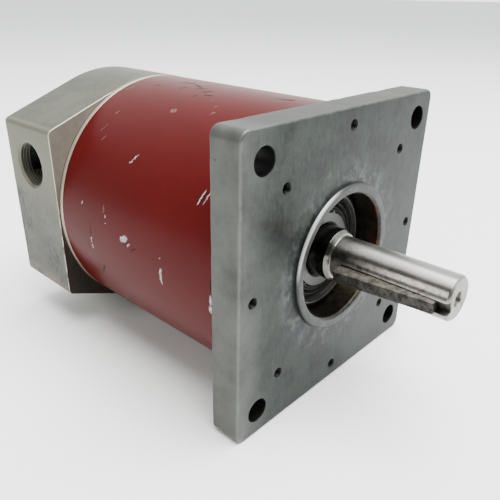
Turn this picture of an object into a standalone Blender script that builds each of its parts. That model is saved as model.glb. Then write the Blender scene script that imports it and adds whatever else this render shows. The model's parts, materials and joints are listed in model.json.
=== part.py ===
"""Geared electric motor with a square mounting flange, a round drum and a cast rear bell.

The shaft line runs along +X at the height of half the flange, so the flange's bottom edge
stands on Z = 0.  X = 0 is the middle of the flange's thickness.  Stations along the shaft are
given as a depth: the distance behind the flange's front face, negative in front of it.
"""
import math

import bmesh
import bpy
from mathutils import Matrix, Vector

mm = 0.001
FIT = 0.3 * mm                      # clearance left between pieces that touch
HALF_FIT = FIT / 2

# ---- driving dimensions ---------------------------------------------------------------
FLANGE_HALF = 54.35 * mm            # half the side of the square flange
FLANGE_THICK = 12.3 * mm
FLANGE_CORNER = 3.6 * mm
BOLT_HALF_PITCH = 44.45 * mm        # the four mounting holes, 88.9 mm apart
BOLT_HOLE_R = 4.45 * mm
TAPPED_CIRCLE_R = 48.1 * mm         # the eight small tapped holes
TAPPED_HOLE_R = 1.8 * mm
TIE_BOLT_HOLE_R = 2.25 * mm          # where the tie bolts pass with clearance
PILOT_R = 27.75 * mm
PILOT_HEIGHT = 1.6 * mm
MOUTH_CHAMFER = 1.0 * mm            # at the mouth of the front bearing's bore

SHAFT_R = 7.94 * mm                 # 5/8 inch output shaft
SHAFT_REACH = 44.5 * mm             # from the flange's front face to the shaft's end
SHAFT_SEAT_R = 10.0 * mm
SHOULDER_CHAMFER = 1.2 * mm
END_CHAMFER = 0.8 * mm
CENTRE_HOLE_R = 2.85 * mm           # mouth of the countersunk centre hole in the shaft's end
CENTRE_DRILL_R = 0.95 * mm

KEY_ANGLE = math.radians(188.5)     # from +Y towards +Z
KEY_WIDTH = 4.34 * mm
KEY_HEIGHT = 4.4 * mm
KEY_FRONT = 40.5 * mm               # in front of the flange face
KEY_BACK = 4.9 * mm
KEY_TOP_FRONT = 9.39 * mm           # radius of the key's top at its front and back ends
KEY_TOP_BACK = 12.69 * mm
KEYWAY_WIDTH = 4.76 * mm
KEYWAY_FLOOR_R = 4.7 * mm

DRUM_R = 53.2 * mm
DRUM_WALL = 2.6 * mm
DRUM_END = 102.6 * mm

BELL_FRONT = 104.4 * mm             # front face of the bell's box, behind its round rim
BELL_BACK = 142.1 * mm
BELL_R = 53.4 * mm
BELL_FLAT = 53.9 * mm               # distance of the flat side from the shaft line
BELL_FLAT_HALF = 36.2 * mm          # half the height of the flat side
BELL_WALL = 5.0 * mm
BULKHEAD_BACK = 110.0 * mm

CONDUIT_DEPTH = 123.9 * mm
CONDUIT_RISE = 19.0 * mm
CONDUIT_R = 9.5 * mm

REGISTER_R = 50.3 * mm              # everything that slides into the drum
NOTCH_R = 2.7 * mm                  # half width of the notches that clear the tie bolts

# gear stage: one module, all teeth the same pressure angle
MODULE = 2.25 * mm
PRESSURE_ANGLE = math.radians(25)
SUN_TEETH = 12
PLANET_TEETH = 12
RING_TEETH = SUN_TEETH + 2 * PLANET_TEETH
PLANETS = 3
BACKLASH = 0.16 * mm                # taken off each tooth's thickness
ADDENDUM = 0.96 * MODULE
DEDENDUM = 1.2 * MODULE
SUN_R = MODULE * SUN_TEETH / 2
PLANET_R = MODULE * PLANET_TEETH / 2
RING_R = MODULE * RING_TEETH / 2
PLANET_ORBIT = SUN_R + PLANET_R
PLANET_WIDTH = (43.4 * mm, 53.4 * mm)
PIN_R = 4.0 * mm

# bearings: bore radius, outer radius, ball radius, number of balls, front and back depth
FRONT_BEARING = (10.0 * mm, 23.5 * mm, 3.75 * mm, 8, 8.0 * mm, 22.0 * mm)
INNER_BEARING = (10.0 * mm, 18.5 * mm, 2.3 * mm, 9, 24.6 * mm, 33.6 * mm)
ROTOR_FRONT_BEARING = (6.0 * mm, 16.0 * mm, 2.8 * mm, 7, 60.6 * mm, 70.6 * mm)
ROTOR_REAR_BEARING = (6.0 * mm, 16.0 * mm, 2.8 * mm, 7, 101.0 * mm, 111.0 * mm)

# motor
ROTOR_SEAT_R = 6.0 * mm             # rotor shaft where its gear and bearings sit
STATOR_DEPTHS = (73.0 * mm, 97.0 * mm)
STATOR_BORE_R = 27.5 * mm
SLOTS = 12
SLOT_INNER_R = 30.0 * mm
SLOT_OUTER_R = 39.5 * mm
ROTOR_R = 26.9 * mm
ROTOR_BARS = 9
ROTOR_BAR_R = 1.8 * mm
ROTOR_BAR_CIRCLE_R = 23.5 * mm
END_RING_R = (20.9 * mm, 26.1 * mm)

AXIS_Z = FLANGE_HALF


def x_at(depth):
    """X of a station that lies depth behind the flange's front face."""
    return FLANGE_THICK / 2 - depth


def polar(radius, angle):
    return (radius * math.cos(angle), radius * math.sin(angle))


# ---- scene and material helpers ---------------------------------------------------------
def clear_scene():
    for old in list(bpy.data.objects):
        bpy.data.objects.remove(old, do_unlink=True)


def material(name, colour, roughness, metallic):
    mat = bpy.data.materials.new(name)
    mat.use_nodes = True
    shader = mat.node_tree.nodes["Principled BSDF"]
    shader.inputs["Base Color"].default_value = (*colour, 1.0)
    shader.inputs["Roughness"].default_value = roughness
    shader.inputs["Metallic"].default_value = metallic
    return mat


def add_object(name, bm, mat, location=(0, 0, AXIS_Z), smooth_angle=35):
    """Turn a bmesh into a named object that stands at location."""
    bmesh.ops.recalc_face_normals(bm, faces=bm.faces)
    mesh = bpy.data.meshes.new(name)
    bm.to_mesh(mesh)
    bm.free()
    mesh.shade_smooth()
    mesh.set_sharp_from_angle(angle=math.radians(smooth_angle))
    mesh.materials.append(mat)
    obj = bpy.data.objects.new(name, mesh)
    obj.location = location
    bpy.context.scene.collection.objects.link(obj)
    return obj


def boolean(target, other, operation):
    """Leave an exact Boolean on target and hide the other shape."""
    modifier = target.modifiers.new(operation.lower() + "_" + other.name, "BOOLEAN")
    modifier.operation = operation
    modifier.solver = "EXACT"
    modifier.object = other
    other.hide_render = True
    other.display_type = "WIRE"


# ---- shape helpers ------------------------------------------------------------------------
def add_turned(bm, profile, segments, start=0.0):
    """Spin a closed (depth, radius) profile about the shaft line, into bm."""
    turn = Matrix.Rotation(start, 4, "X")
    verts = [bm.verts.new(turn @ Vector((x_at(depth), radius, 0))) for depth, radius in profile]
    edges = [bm.edges.new((verts[i], verts[(i + 1) % len(verts)])) for i in range(len(verts))]
    bmesh.ops.spin(bm, geom=edges + verts, cent=(0, 0, 0), axis=(1, 0, 0), dvec=(0, 0, 0),
                   angle=2 * math.pi, steps=segments, use_merge=True, use_duplicate=False)


def turned(name, profile, mat, segments=48):
    bm = bmesh.new()
    add_turned(bm, profile, segments)
    return add_object(name, bm, mat)


def on_axis_turned(name, profile, mat, segments=32):
    """Like turned, for a profile whose first and last points lie on the shaft line."""
    bm = bmesh.new()
    verts = [bm.verts.new((x_at(depth), radius, 0)) for depth, radius in profile]
    edges = [bm.edges.new(pair) for pair in zip(verts, verts[1:])]
    bmesh.ops.spin(bm, geom=edges + verts, cent=(0, 0, 0), axis=(1, 0, 0), dvec=(0, 0, 0),
                   angle=2 * math.pi, steps=segments, use_merge=True, use_duplicate=False)
    bmesh.ops.remove_doubles(bm, verts=bm.verts, dist=0.001 * mm)
    return add_object(name, bm, mat)


def circle(radius, segments, centre=(0, 0), start=0.0):
    """Points of a circle in the plane across the shaft."""
    step = 2 * math.pi / segments
    return [(centre[0] + radius * math.cos(start + i * step),
             centre[1] + radius * math.sin(start + i * step)) for i in range(segments)]


def add_plate(bm, loops, front, back):
    """Fill closed loops of (y, z) points and push them from depth front to depth back."""
    edges = []
    for loop in loops:
        verts = [bm.verts.new((x_at(front), y, z)) for y, z in loop]
        edges += [bm.edges.new((verts[i], verts[(i + 1) % len(verts)])) for i in range(len(verts))]
    filled = bmesh.ops.triangle_fill(bm, use_beauty=True, use_dissolve=False, edges=edges)
    faces = [item for item in filled["geom"] if isinstance(item, bmesh.types.BMFace)]
    pushed = bmesh.ops.extrude_face_region(bm, geom=faces, use_keep_orig=True)
    moved = [item for item in pushed["geom"] if isinstance(item, bmesh.types.BMVert)]
    bmesh.ops.translate(bm, verts=moved, vec=(front - back, 0, 0))


def plate(name, loops, front, back, mat):
    bm = bmesh.new()
    add_plate(bm, loops, front, back)
    return add_object(name, bm, mat)


def rods(name, centres, radius, front, back, mat, segments=12):
    """Round bars along the shaft direction, as separate solids of one object."""
    bm = bmesh.new()
    for centre in centres:
        add_plate(bm, [circle(radius, segments, centre)], front, back)
    return add_object(name, bm, mat)


class SteppedSolid:
    """A solid sewn from walls that run along the shaft and flat faces across it."""

    def __init__(self):
        self.bm = bmesh.new()

    def ring_of_verts(self, loop, depth):
        return [self.bm.verts.new((x_at(depth), y, z)) for y, z in loop]

    def wall(self, loop, front, back, back_loop=None):
        """Side faces under a loop; back_loop, with as many points, makes a cone."""
        near = self.ring_of_verts(loop, front)
        far = self.ring_of_verts(back_loop or loop, back)
        for i in range(len(near)):
            j = (i + 1) % len(near)
            self.bm.faces.new((near[i], near[j], far[j], far[i]))

    def face(self, depth, loops):
        """Flat face inside the first loop and outside the others."""
        edges = []
        for loop in loops:
            verts = self.ring_of_verts(loop, depth)
            edges += [self.bm.edges.new((verts[i], verts[(i + 1) % len(verts)]))
                      for i in range(len(verts))]
        bmesh.ops.triangle_fill(self.bm, use_beauty=True, use_dissolve=False, edges=edges)

    def finish(self, name, mat):
        bmesh.ops.remove_doubles(self.bm, verts=self.bm.verts, dist=0.001 * mm)
        return add_object(name, self.bm, mat)


def rounded_square(half, corner, steps=4):
    points = []
    for quarter in range(4):
        middle = math.radians(45 + 90 * quarter)
        centre = Vector(polar((half - corner) * math.sqrt(2), middle))
        for i in range(steps + 1):
            angle = middle + math.radians(90) * (i / steps - 0.5)
            points.append(tuple(centre + Vector(polar(corner, angle))))
    return points


def notched_circle(radius, steps_between=9):
    """The drum's inside outline with a U notch on each diagonal for the tie bolts."""
    points = []
    half_angle = math.asin(NOTCH_R / radius)
    for quarter in range(4):
        diagonal = math.radians(45 + 90 * quarter)
        turn = Matrix.Rotation(diagonal, 2)
        points.append(polar(radius, diagonal - half_angle))
        for i in range(5):
            angle = math.radians(270 - 45 * i)
            local = Vector((TAPPED_CIRCLE_R + NOTCH_R * math.cos(angle), NOTCH_R * math.sin(angle)))
            points.append(tuple(turn @ local))
        for i in range(steps_between):
            sweep = math.pi / 2 - 2 * half_angle
            points.append(polar(radius, diagonal + half_angle + sweep * i / steps_between))
    return points


def bell_outline(inset=0.0, corner=2.5 * mm, steps=32, bulges=False):
    """Round body with a flat side: a circle, two tangents and two rounded corners.

    inset moves the whole outline inwards; bulges adds the pockets of two tie bolt heads.
    """
    radius = BELL_R - inset
    flat = BELL_FLAT - inset
    corner_angle = math.atan2(BELL_FLAT_HALF, -BELL_FLAT)
    tangent = corner_angle - math.acos(BELL_R / math.hypot(BELL_FLAT, BELL_FLAT_HALF))
    round_r = max(corner - inset, 0.8 * mm)
    centre_y = -flat + round_r
    centre_z = (radius - round_r - centre_y * math.cos(tangent)) / math.sin(tangent)
    points = []
    half_bulge = math.asin(HEAD_POCKET_R / radius)
    for i in range(steps + 1):
        angle = -tangent + 2 * tangent * i / steps
        near_diagonal = abs(abs(angle) - math.radians(45)) <= half_bulge + 0.5 * tangent / steps
        if not (bulges and near_diagonal):
            points.append(polar(radius, angle))
    for side in (-1, 1) if bulges else ():
        diagonal = side * math.radians(45)
        turn = Matrix.Rotation(diagonal, 2)
        bulge = [tuple(turn @ (Vector((TAPPED_CIRCLE_R, 0)) + Vector(polar(HEAD_POCKET_R, angle))))
                 for angle in (math.radians(30 * i - 90) for i in range(7))]
        place = next(i for i, point in enumerate(points) if math.atan2(point[1], point[0]) > diagonal)
        points[place:place] = bulge
    for sign, start in ((1, tangent), (-1, math.pi)):
        for i in range(4):
            angle = start + (math.pi - tangent) * i / 3
            points.append((centre_y + round_r * math.cos(angle),
                           sign * centre_z + round_r * math.sin(angle)))
    return points


DIAGONALS = [polar(TAPPED_CIRCLE_R, math.radians(45 + 90 * i)) for i in range(4)]
MID_EDGES = [polar(TAPPED_CIRCLE_R, math.radians(90 * i)) for i in range(4)]
CORNERS = [(y * BOLT_HALF_PITCH, z * BOLT_HALF_PITCH) for y in (-1, 1) for z in (-1, 1)]


# ---- gears -----------------------------------------------------------------------------------
def involute(angle):
    return math.tan(angle) - angle


def tooth_half_angle(teeth, radius, thinning):
    """Half the angle that a tooth of an external gear fills at a radius."""
    pitch_r = MODULE * teeth / 2
    base_r = pitch_r * math.cos(PRESSURE_ANGLE)
    at_pitch = (math.pi * MODULE / 2 - thinning) / 2 / pitch_r
    here = math.acos(min(1.0, base_r / max(radius, base_r)))
    return at_pitch + involute(PRESSURE_ANGLE) - involute(here)


def gear_outline(teeth, phase, addendum, dedendum, thinning):
    """Points of a spur gear with involute flanks.  A tooth is centred on the phase angle."""
    pitch_r = MODULE * teeth / 2
    base_r = pitch_r * math.cos(PRESSURE_ANGLE)
    low = max(pitch_r - dedendum, 0.0)
    flank = [max(low, base_r), pitch_r, pitch_r + addendum]
    if low < base_r:
        flank.insert(0, low)
    points = []
    for tooth in range(teeth):
        centre = phase + 2 * math.pi * tooth / teeth
        for radius in flank:
            points.append(polar(radius, centre - tooth_half_angle(teeth, radius, thinning)))
        for radius in reversed(flank):
            points.append(polar(radius, centre + tooth_half_angle(teeth, radius, thinning)))
    return points


def planet_angle(index):
    return math.radians(90 + 360 * index / PLANETS)


def planet_phase(index):
    """Angle of a planet tooth that meshes with the sun's tooth centred on angle 0."""
    angle = planet_angle(index)
    return angle + math.pi - (-angle * SUN_TEETH + math.pi) / PLANET_TEETH


def ring_phase():
    """Angle of one of the ring's inward teeth, in mesh with the first planet."""
    angle = planet_angle(0)
    return angle + ((planet_phase(0) - angle) * PLANET_TEETH - math.pi) / RING_TEETH


# ---- materials --------------------------------------------------------------------------------
def make_materials():
    return {
        "cast": material("cast_aluminium", (0.47, 0.48, 0.47), 0.42, 0.9),
        "bell": material("bell_casting", (0.46, 0.45, 0.42), 0.45, 0.9),
        "red": material("red_paint", (0.25, 0.02, 0.02), 0.3, 0.0),
        "steel": material("shaft_steel", (0.55, 0.54, 0.52), 0.22, 1.0),
        "key": material("worn_key_steel", (0.24, 0.19, 0.15), 0.6, 0.8),
        "bearing": material("bearing_steel", (0.6, 0.6, 0.6), 0.25, 1.0),
        "rubber": material("black_rubber", (0.02, 0.02, 0.022), 0.6, 0.0),
        "gear": material("gear_steel", (0.4, 0.4, 0.41), 0.35, 1.0),
        "bronze": material("bronze_bush", (0.5, 0.33, 0.13), 0.35, 1.0),
        "lamination": material("laminations", (0.28, 0.29, 0.31), 0.5, 0.8),
        "copper": material("enamelled_copper", (0.5, 0.18, 0.06), 0.35, 0.8),
        "zinc": material("zinc_plated_screws", (0.62, 0.62, 0.58), 0.35, 0.9),
        "spring": material("spring_steel", (0.2, 0.2, 0.22), 0.4, 0.9),
        "plastic": material("terminal_plastic", (0.06, 0.06, 0.06), 0.5, 0.0),
        "brass": material("brass_terminals", (0.6, 0.45, 0.18), 0.35, 1.0),
        "gasket": material("gasket_paper", (0.1, 0.13, 0.12), 0.8, 0.0),
        "lead": material("lead_insulation", (0.75, 0.72, 0.65), 0.5, 0.0),
        "guide": material("cutting_guides", (0.8, 0.2, 0.8), 0.5, 0.0),
    }


# ---- housing -------------------------------------------------------------------------------------
SKIRT_END = 43.0 * mm
SKIRT_INNER_R = 44.2 * mm
HUB_R = 29.5 * mm
HUB_END = 36.6 * mm
LIP_R = 16.6 * mm
SNAP_GROOVE = (33.9 * mm, 35.4 * mm)


def front_flange(mats):
    """Square flange, pilot ring, bearing hub and the skirt that centres the drum."""
    outline = rounded_square(FLANGE_HALF, FLANGE_CORNER)
    pilot = circle(PILOT_R, 36)
    hub = circle(HUB_R, 28)
    front_bore = circle(FRONT_BEARING[1] + FIT, 32)
    mouth = circle(FRONT_BEARING[1] + FIT + MOUTH_CHAMFER, 32)
    lip = circle(LIP_R, 20)
    inner_bore = circle(INNER_BEARING[1] + FIT, 24)
    groove = circle(INNER_BEARING[1] + FIT + 1.2 * mm, 24)
    skirt = notched_circle(REGISTER_R)
    skirt_bore = circle(SKIRT_INNER_R, 28)
    bolt_holes = [circle(BOLT_HOLE_R, 16, centre) for centre in CORNERS]
    exits = [circle(TAPPED_HOLE_R, 8, centre) for centre in DIAGONALS]
    clearances = [circle(TIE_BOLT_HOLE_R, 8, centre) for centre in DIAGONALS]
    blind_holes = [circle(TAPPED_HOLE_R, 8, centre) for centre in MID_EDGES]
    lip_front = FRONT_BEARING[5] + FIT
    lip_back = INNER_BEARING[4] - FIT
    blind_end = FLANGE_THICK - 2 * mm
    thread_start = 3 * mm

    solid = SteppedSolid()
    solid.face(-PILOT_HEIGHT, [pilot, mouth])
    solid.wall(pilot, -PILOT_HEIGHT, 0)
    solid.face(0, [outline, pilot] + bolt_holes + exits + blind_holes)
    solid.wall(outline, 0, FLANGE_THICK)
    solid.face(FLANGE_THICK, [outline, skirt] + bolt_holes + clearances)
    solid.wall(skirt, FLANGE_THICK, SKIRT_END)
    solid.face(SKIRT_END, [skirt, skirt_bore])
    solid.wall(skirt_bore, FLANGE_THICK, SKIRT_END)
    solid.face(FLANGE_THICK, [skirt_bore, hub])
    solid.wall(hub, FLANGE_THICK, HUB_END)
    solid.face(HUB_END, [hub, inner_bore])
    solid.wall(inner_bore, SNAP_GROOVE[1], HUB_END)
    solid.face(SNAP_GROOVE[1], [groove, inner_bore])
    solid.wall(groove, SNAP_GROOVE[0], SNAP_GROOVE[1])
    solid.face(SNAP_GROOVE[0], [groove, inner_bore])
    solid.wall(inner_bore, lip_back, SNAP_GROOVE[0])
    solid.face(lip_back, [inner_bore, lip])
    solid.wall(lip, lip_front, lip_back)
    solid.face(lip_front, [front_bore, lip])
    solid.wall(front_bore, -PILOT_HEIGHT + MOUTH_CHAMFER, lip_front)
    solid.wall(mouth, -PILOT_HEIGHT, -PILOT_HEIGHT + MOUTH_CHAMFER, front_bore)
    for hole in bolt_holes:
        solid.wall(hole, 0, FLANGE_THICK)
    for narrow, wide in zip(exits, clearances):
        solid.wall(narrow, 0, thread_start)
        solid.face(thread_start, [wide, narrow])
        solid.wall(wide, thread_start, FLANGE_THICK)
    for hole in blind_holes:
        solid.wall(hole, 0, blind_end)
        solid.face(blind_end, [hole])
    solid.finish("front_flange", mats["cast"])


def drum_shell(mats):
    front = FLANGE_THICK + FIT
    back = DRUM_END - FIT
    inner = DRUM_R - DRUM_WALL
    turned("drum_shell", [(front, DRUM_R), (front, inner), (back, inner), (back, DRUM_R)],
           mats["red"], 56)


COVER_FRONT = 139.9 * mm
GASKET_FRONT = 138.9 * mm
LEDGE = 138.6 * mm
COVER_SCREWS = [(-43.5 * mm, 29 * mm), (-43.5 * mm, -29 * mm), (41 * mm, 14 * mm),
                (41 * mm, -14 * mm)]
PILLAR_R = 3.7 * mm
SPIGOT_INNER_R = 43.8 * mm
HEAD_POCKET_R = 3.9 * mm
REBATE = 3.0 * mm
LEAD_HOLE = (-36 * mm, 0.0)
LEAD_HOLE_R = 5.0 * mm
LEAD_R = 2.6 * mm
GROUND_SCREW = (18 * mm, 27 * mm)
BELL_HUB_R = 20.5 * mm
BELL_HUB = (99.5 * mm, 116.0 * mm)


def conduit_cutter(mats):
    """Round bar along Y that cuts the conduit entry."""
    near, far = 37 * mm, 56 * mm
    bm = bmesh.new()
    bmesh.ops.create_cone(bm, cap_ends=True, segments=20, radius1=CONDUIT_R, radius2=CONDUIT_R,
                          depth=far - near, matrix=Matrix.Rotation(math.pi / 2, 4, "X"))
    return add_object("conduit_cutter", bm, mats["guide"],
                      (x_at(CONDUIT_DEPTH), -(near + far) / 2, AXIS_Z + CONDUIT_RISE))


def conduit_boss(mats):
    """Block that lengthens the conduit entry's thread inside the wall, along its lower part."""
    width, height, depth = 25.2 * mm, 9.0 * mm, 6.1 * mm
    bm = bmesh.new()
    bmesh.ops.create_cube(bm, size=1.0, matrix=Matrix.Diagonal((width, depth, height, 1.0)))
    inner_wall = BELL_WALL - BELL_FLAT
    return add_object("conduit_boss", bm, mats["guide"],
                      (x_at(CONDUIT_DEPTH), inner_wall + depth / 2 - 1 * mm,
                       AXIS_Z + CONDUIT_RISE - CONDUIT_R))


def rear_end_bell(mats):
    """Cast bell: rim, box with the terminal chamber, rear bearing hub and conduit entry."""
    outline = bell_outline()
    rebate = bell_outline(REBATE)
    chamber = bell_outline(BELL_WALL, bulges=True)
    rim = circle(DRUM_R, 56)
    spigot = notched_circle(REGISTER_R)
    spigot_bore = circle(SPIGOT_INNER_R, 28)
    hub = circle(BELL_HUB_R, 20)
    seat = circle(ROTOR_REAR_BEARING[1] + FIT, 20)
    bolt_holes = [circle(TIE_BOLT_HOLE_R, 8, centre) for centre in DIAGONALS]
    pillars = [circle(PILLAR_R, 10, centre) for centre in COVER_SCREWS]
    screw_holes = [circle(1.6 * mm, 8, centre) for centre in COVER_SCREWS]
    lead_hole = circle(LEAD_HOLE_R, 12, LEAD_HOLE)
    ground_hole = circle(2.2 * mm, 8, GROUND_SCREW)
    seat_end = 113 * mm
    screw_hole_end = 133.5 * mm
    ground_hole_end = 106 * mm
    spigot_front = 97.6 * mm

    solid = SteppedSolid()
    solid.face(spigot_front, [spigot, spigot_bore])
    solid.wall(spigot, spigot_front, DRUM_END)
    solid.face(DRUM_END, [rim, spigot] + bolt_holes)
    solid.wall(rim, DRUM_END, BELL_FRONT)
    solid.face(BELL_FRONT, [outline, rim])
    solid.wall(outline, BELL_FRONT, BELL_BACK)
    solid.face(BELL_BACK, [outline, rebate])
    solid.wall(rebate, LEDGE, BELL_BACK)
    solid.face(LEDGE, [rebate, chamber])
    solid.wall(chamber, BULKHEAD_BACK, LEDGE)
    solid.face(BULKHEAD_BACK, [chamber, hub, lead_hole, ground_hole] + bolt_holes + pillars)
    solid.wall(hub, BULKHEAD_BACK, BELL_HUB[1])
    solid.face(BELL_HUB[1], [hub])
    solid.wall(spigot_bore, spigot_front, BELL_FRONT)
    solid.face(BELL_FRONT, [spigot_bore, hub, lead_hole])
    solid.wall(hub, BELL_HUB[0], BELL_FRONT)
    solid.face(BELL_HUB[0], [hub, seat])
    solid.wall(seat, BELL_HUB[0], seat_end)
    solid.face(seat_end, [seat])
    solid.wall(lead_hole, BELL_FRONT, BULKHEAD_BACK)
    solid.wall(ground_hole, ground_hole_end, BULKHEAD_BACK)
    solid.face(ground_hole_end, [ground_hole])
    for hole in bolt_holes:
        solid.wall(hole, DRUM_END, BULKHEAD_BACK)
    for pillar, hole in zip(pillars, screw_holes):
        solid.wall(pillar, BULKHEAD_BACK, LEDGE)
        solid.face(LEDGE, [pillar, hole])
        solid.wall(hole, screw_hole_end, LEDGE)
        solid.face(screw_hole_end, [hole])
    bell = solid.finish("rear_end_bell", mats["bell"])
    boolean(bell, conduit_boss(mats), "UNION")
    boolean(bell, conduit_cutter(mats), "DIFFERENCE")


def rear_cover(mats):
    """Flat cover let into the bell's back, with its gasket under it."""
    holes = [circle(2.0 * mm, 8, centre) for centre in COVER_SCREWS]
    plate("rear_cover", [bell_outline(REBATE + FIT, steps=24)] + holes, COVER_FRONT,
          BELL_BACK - FIT, mats["bell"])
    window = circle(35 * mm, 20)
    plate("rear_cover_gasket", [bell_outline(REBATE + FIT, steps=24), window] + holes,
          GASKET_FRONT, COVER_FRONT - FIT, mats["gasket"])


def cap_screw(name, centre, under_head, tip, shank_r, head_r, head_height, mat, segments=8):
    """Socket head screw whose head stands behind the depth under_head."""
    y, z = centre
    top = under_head + head_height
    socket_r = head_r * 0.5
    profile = [(tip, 0), (tip, shank_r), (under_head, shank_r), (under_head, head_r),
               (top, head_r), (top, socket_r), (top - head_height * 0.55, socket_r),
               (top - head_height * 0.55, 0)]
    screw = on_axis_turned(name, profile, mat, segments)
    screw.location = (0, y, AXIS_Z + z)


def fasteners(mats):
    for i, centre in enumerate(DIAGONALS):
        cap_screw("tie_bolt_" + str(i + 1), centre, BULKHEAD_BACK + FIT, 4.5 * mm, 1.95 * mm,
                  3.4 * mm, 4 * mm, mats["zinc"])
    for i, centre in enumerate(COVER_SCREWS):
        cap_screw("rear_cover_screw_" + str(i + 1), centre, BELL_BACK, 134 * mm, 1.3 * mm,
                  2.8 * mm, 2.0 * mm, mats["zinc"])
    cap_screw("ground_screw", GROUND_SCREW, BULKHEAD_BACK + FIT, 106.4 * mm, 1.9 * mm, 3.6 * mm,
              2.6 * mm, mats["brass"])


# ---- bearings --------------------------------------------------------------------------------------
def bearing(mats, name, spec, segments):
    """Deep groove ball bearing: two grooved rings and a row of balls on their cage ring."""
    bore_r, outer_r, ball_r, balls, front, back = spec
    pitch_r = (bore_r + outer_r) / 2
    middle = (front + back) / 2
    groove_r = ball_r + 0.4 * mm
    land = ball_r * 0.62
    groove_steps = 3
    spread = math.acos(land / groove_r)
    inner_groove = []
    outer_groove = []
    for i in range(groove_steps + 1):
        angle = spread * (1 - 2 * i / groove_steps)
        along = middle + groove_r * math.sin(angle)
        inner_groove.append((along, pitch_r - groove_r * math.cos(angle)))
        outer_groove.append((along, pitch_r + groove_r * math.cos(angle)))
    bore = bore_r + HALF_FIT
    turned(name + "_inner_ring", [(back, bore), (back, pitch_r - land)] + inner_groove +
           [(front, pitch_r - land), (front, bore)], mats["bearing"], segments)
    turned(name + "_outer_ring", [(back, outer_r), (back, pitch_r + land)] + outer_groove +
           [(front, pitch_r + land), (front, outer_r)], mats["bearing"], segments)
    # the cage is a thin polygon through the balls' centres, which makes them one piece
    cage_half = 0.6 * mm
    cage = turned(name + "_ball_cage", [
        (middle - cage_half, pitch_r - cage_half), (middle - cage_half, pitch_r + cage_half),
        (middle + cage_half, pitch_r + cage_half), (middle + cage_half, pitch_r - cage_half)],
        mats["bearing"], balls)
    bm = bmesh.new()
    for i in range(balls):
        turn = Matrix.Rotation(2 * math.pi * i / balls, 4, "X")
        place = turn @ Matrix.Translation((x_at(middle), pitch_r, 0))
        bmesh.ops.create_uvsphere(bm, u_segments=6, v_segments=4, radius=ball_r, matrix=place)
    boolean(cage, add_object(name + "_balls", bm, mats["guide"]), "UNION")


def bearings(mats):
    bearing(mats, "front_bearing", FRONT_BEARING, 28)
    bearing(mats, "inner_bearing", INNER_BEARING, 20)
    bearing(mats, "rotor_front_bearing", ROTOR_FRONT_BEARING, 20)
    bearing(mats, "rotor_rear_bearing", ROTOR_REAR_BEARING, 20)
    front = FRONT_BEARING[4]
    bore_r, outer_r, ball_r = FRONT_BEARING[:3]
    land = ball_r * 0.62
    pitch_r = (bore_r + outer_r) / 2
    turned("front_bearing_seal", [
        (front + 0.5 * mm, pitch_r - land + FIT), (front + 0.5 * mm, pitch_r + land - FIT),
        (front + 1.4 * mm, pitch_r + land - FIT), (front + 1.4 * mm, pitch_r - land + FIT)],
           mats["rubber"], 28)
    turned("bearing_spacer", [(FRONT_BEARING[5] + FIT, 10.3 * mm), (FRONT_BEARING[5] + FIT, 12.4 * mm),
                              (INNER_BEARING[4] - FIT, 12.4 * mm), (INNER_BEARING[4] - FIT, 10.3 * mm)],
           mats["steel"], 16)


def snap_ring(name, inner_r, outer_r, front, back, gap_angle, mats):
    """Flat spring ring with a gap at the bottom."""
    steps = 20
    start = math.radians(270) + gap_angle / 2
    sweep = 2 * math.pi - gap_angle
    outer = [polar(outer_r, start + sweep * i / steps) for i in range(steps + 1)]
    inner = [polar(inner_r, start + sweep * i / steps) for i in range(steps + 1)]
    plate(name, [outer + inner[::-1]], front, back, mats["spring"])


# ---- output shaft, key and carrier ---------------------------------------------------------------------
CARRIER_FRONT = 36.9 * mm
CARRIER_BACK = 42.0 * mm
CARRIER_R = 35.0 * mm
CARRIER_SEAT_R = 8.7 * mm
SHAFT_COLLAR = (34.0 * mm, 36.6 * mm)
SHAFT_TAIL = 42.25 * mm
REAR_PLATE = (54.2 * mm, 57.0 * mm)
MOTOR_PLATE_FRONT = 58.0 * mm


def keyway_cutter(mats):
    """Open-ended keyway whose floor ramps up to the shaft's surface at its back end."""
    reach = 20 * mm
    slope = (KEY_TOP_BACK - KEY_TOP_FRONT) / (KEY_FRONT - KEY_BACK)
    ramp_start = KEY_FRONT - 1.5 * mm
    ramp_end = KEY_BACK - 1.0 * mm
    ramp_top = KEYWAY_FLOOR_R + slope * (ramp_start - ramp_end)
    profile = [(SHAFT_REACH + 1 * mm, KEYWAY_FLOOR_R), (ramp_start, KEYWAY_FLOOR_R),
               (ramp_end, ramp_top), (ramp_end, reach), (SHAFT_REACH + 1 * mm, reach)]
    return side_profile("keyway_cutter", profile, KEYWAY_WIDTH, mats["guide"])


def side_profile(name, profile, width, mat):
    """Solid of the given width whose (reach in front of the flange, radius) outline is given."""
    bm = bmesh.new()
    turn = Matrix.Rotation(KEY_ANGLE, 4, "X")
    verts = [bm.verts.new(turn @ Vector((x_at(-along), radius, -width / 2)))
             for along, radius in profile]
    face = bm.faces.new(verts)
    pushed = bmesh.ops.extrude_face_region(bm, geom=[face], use_keep_orig=True)
    moved = [item for item in pushed["geom"] if isinstance(item, bmesh.types.BMVert)]
    bmesh.ops.translate(bm, verts=moved, vec=turn @ Vector((0, 0, width)))
    return add_object(name, bm, mat)


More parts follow.
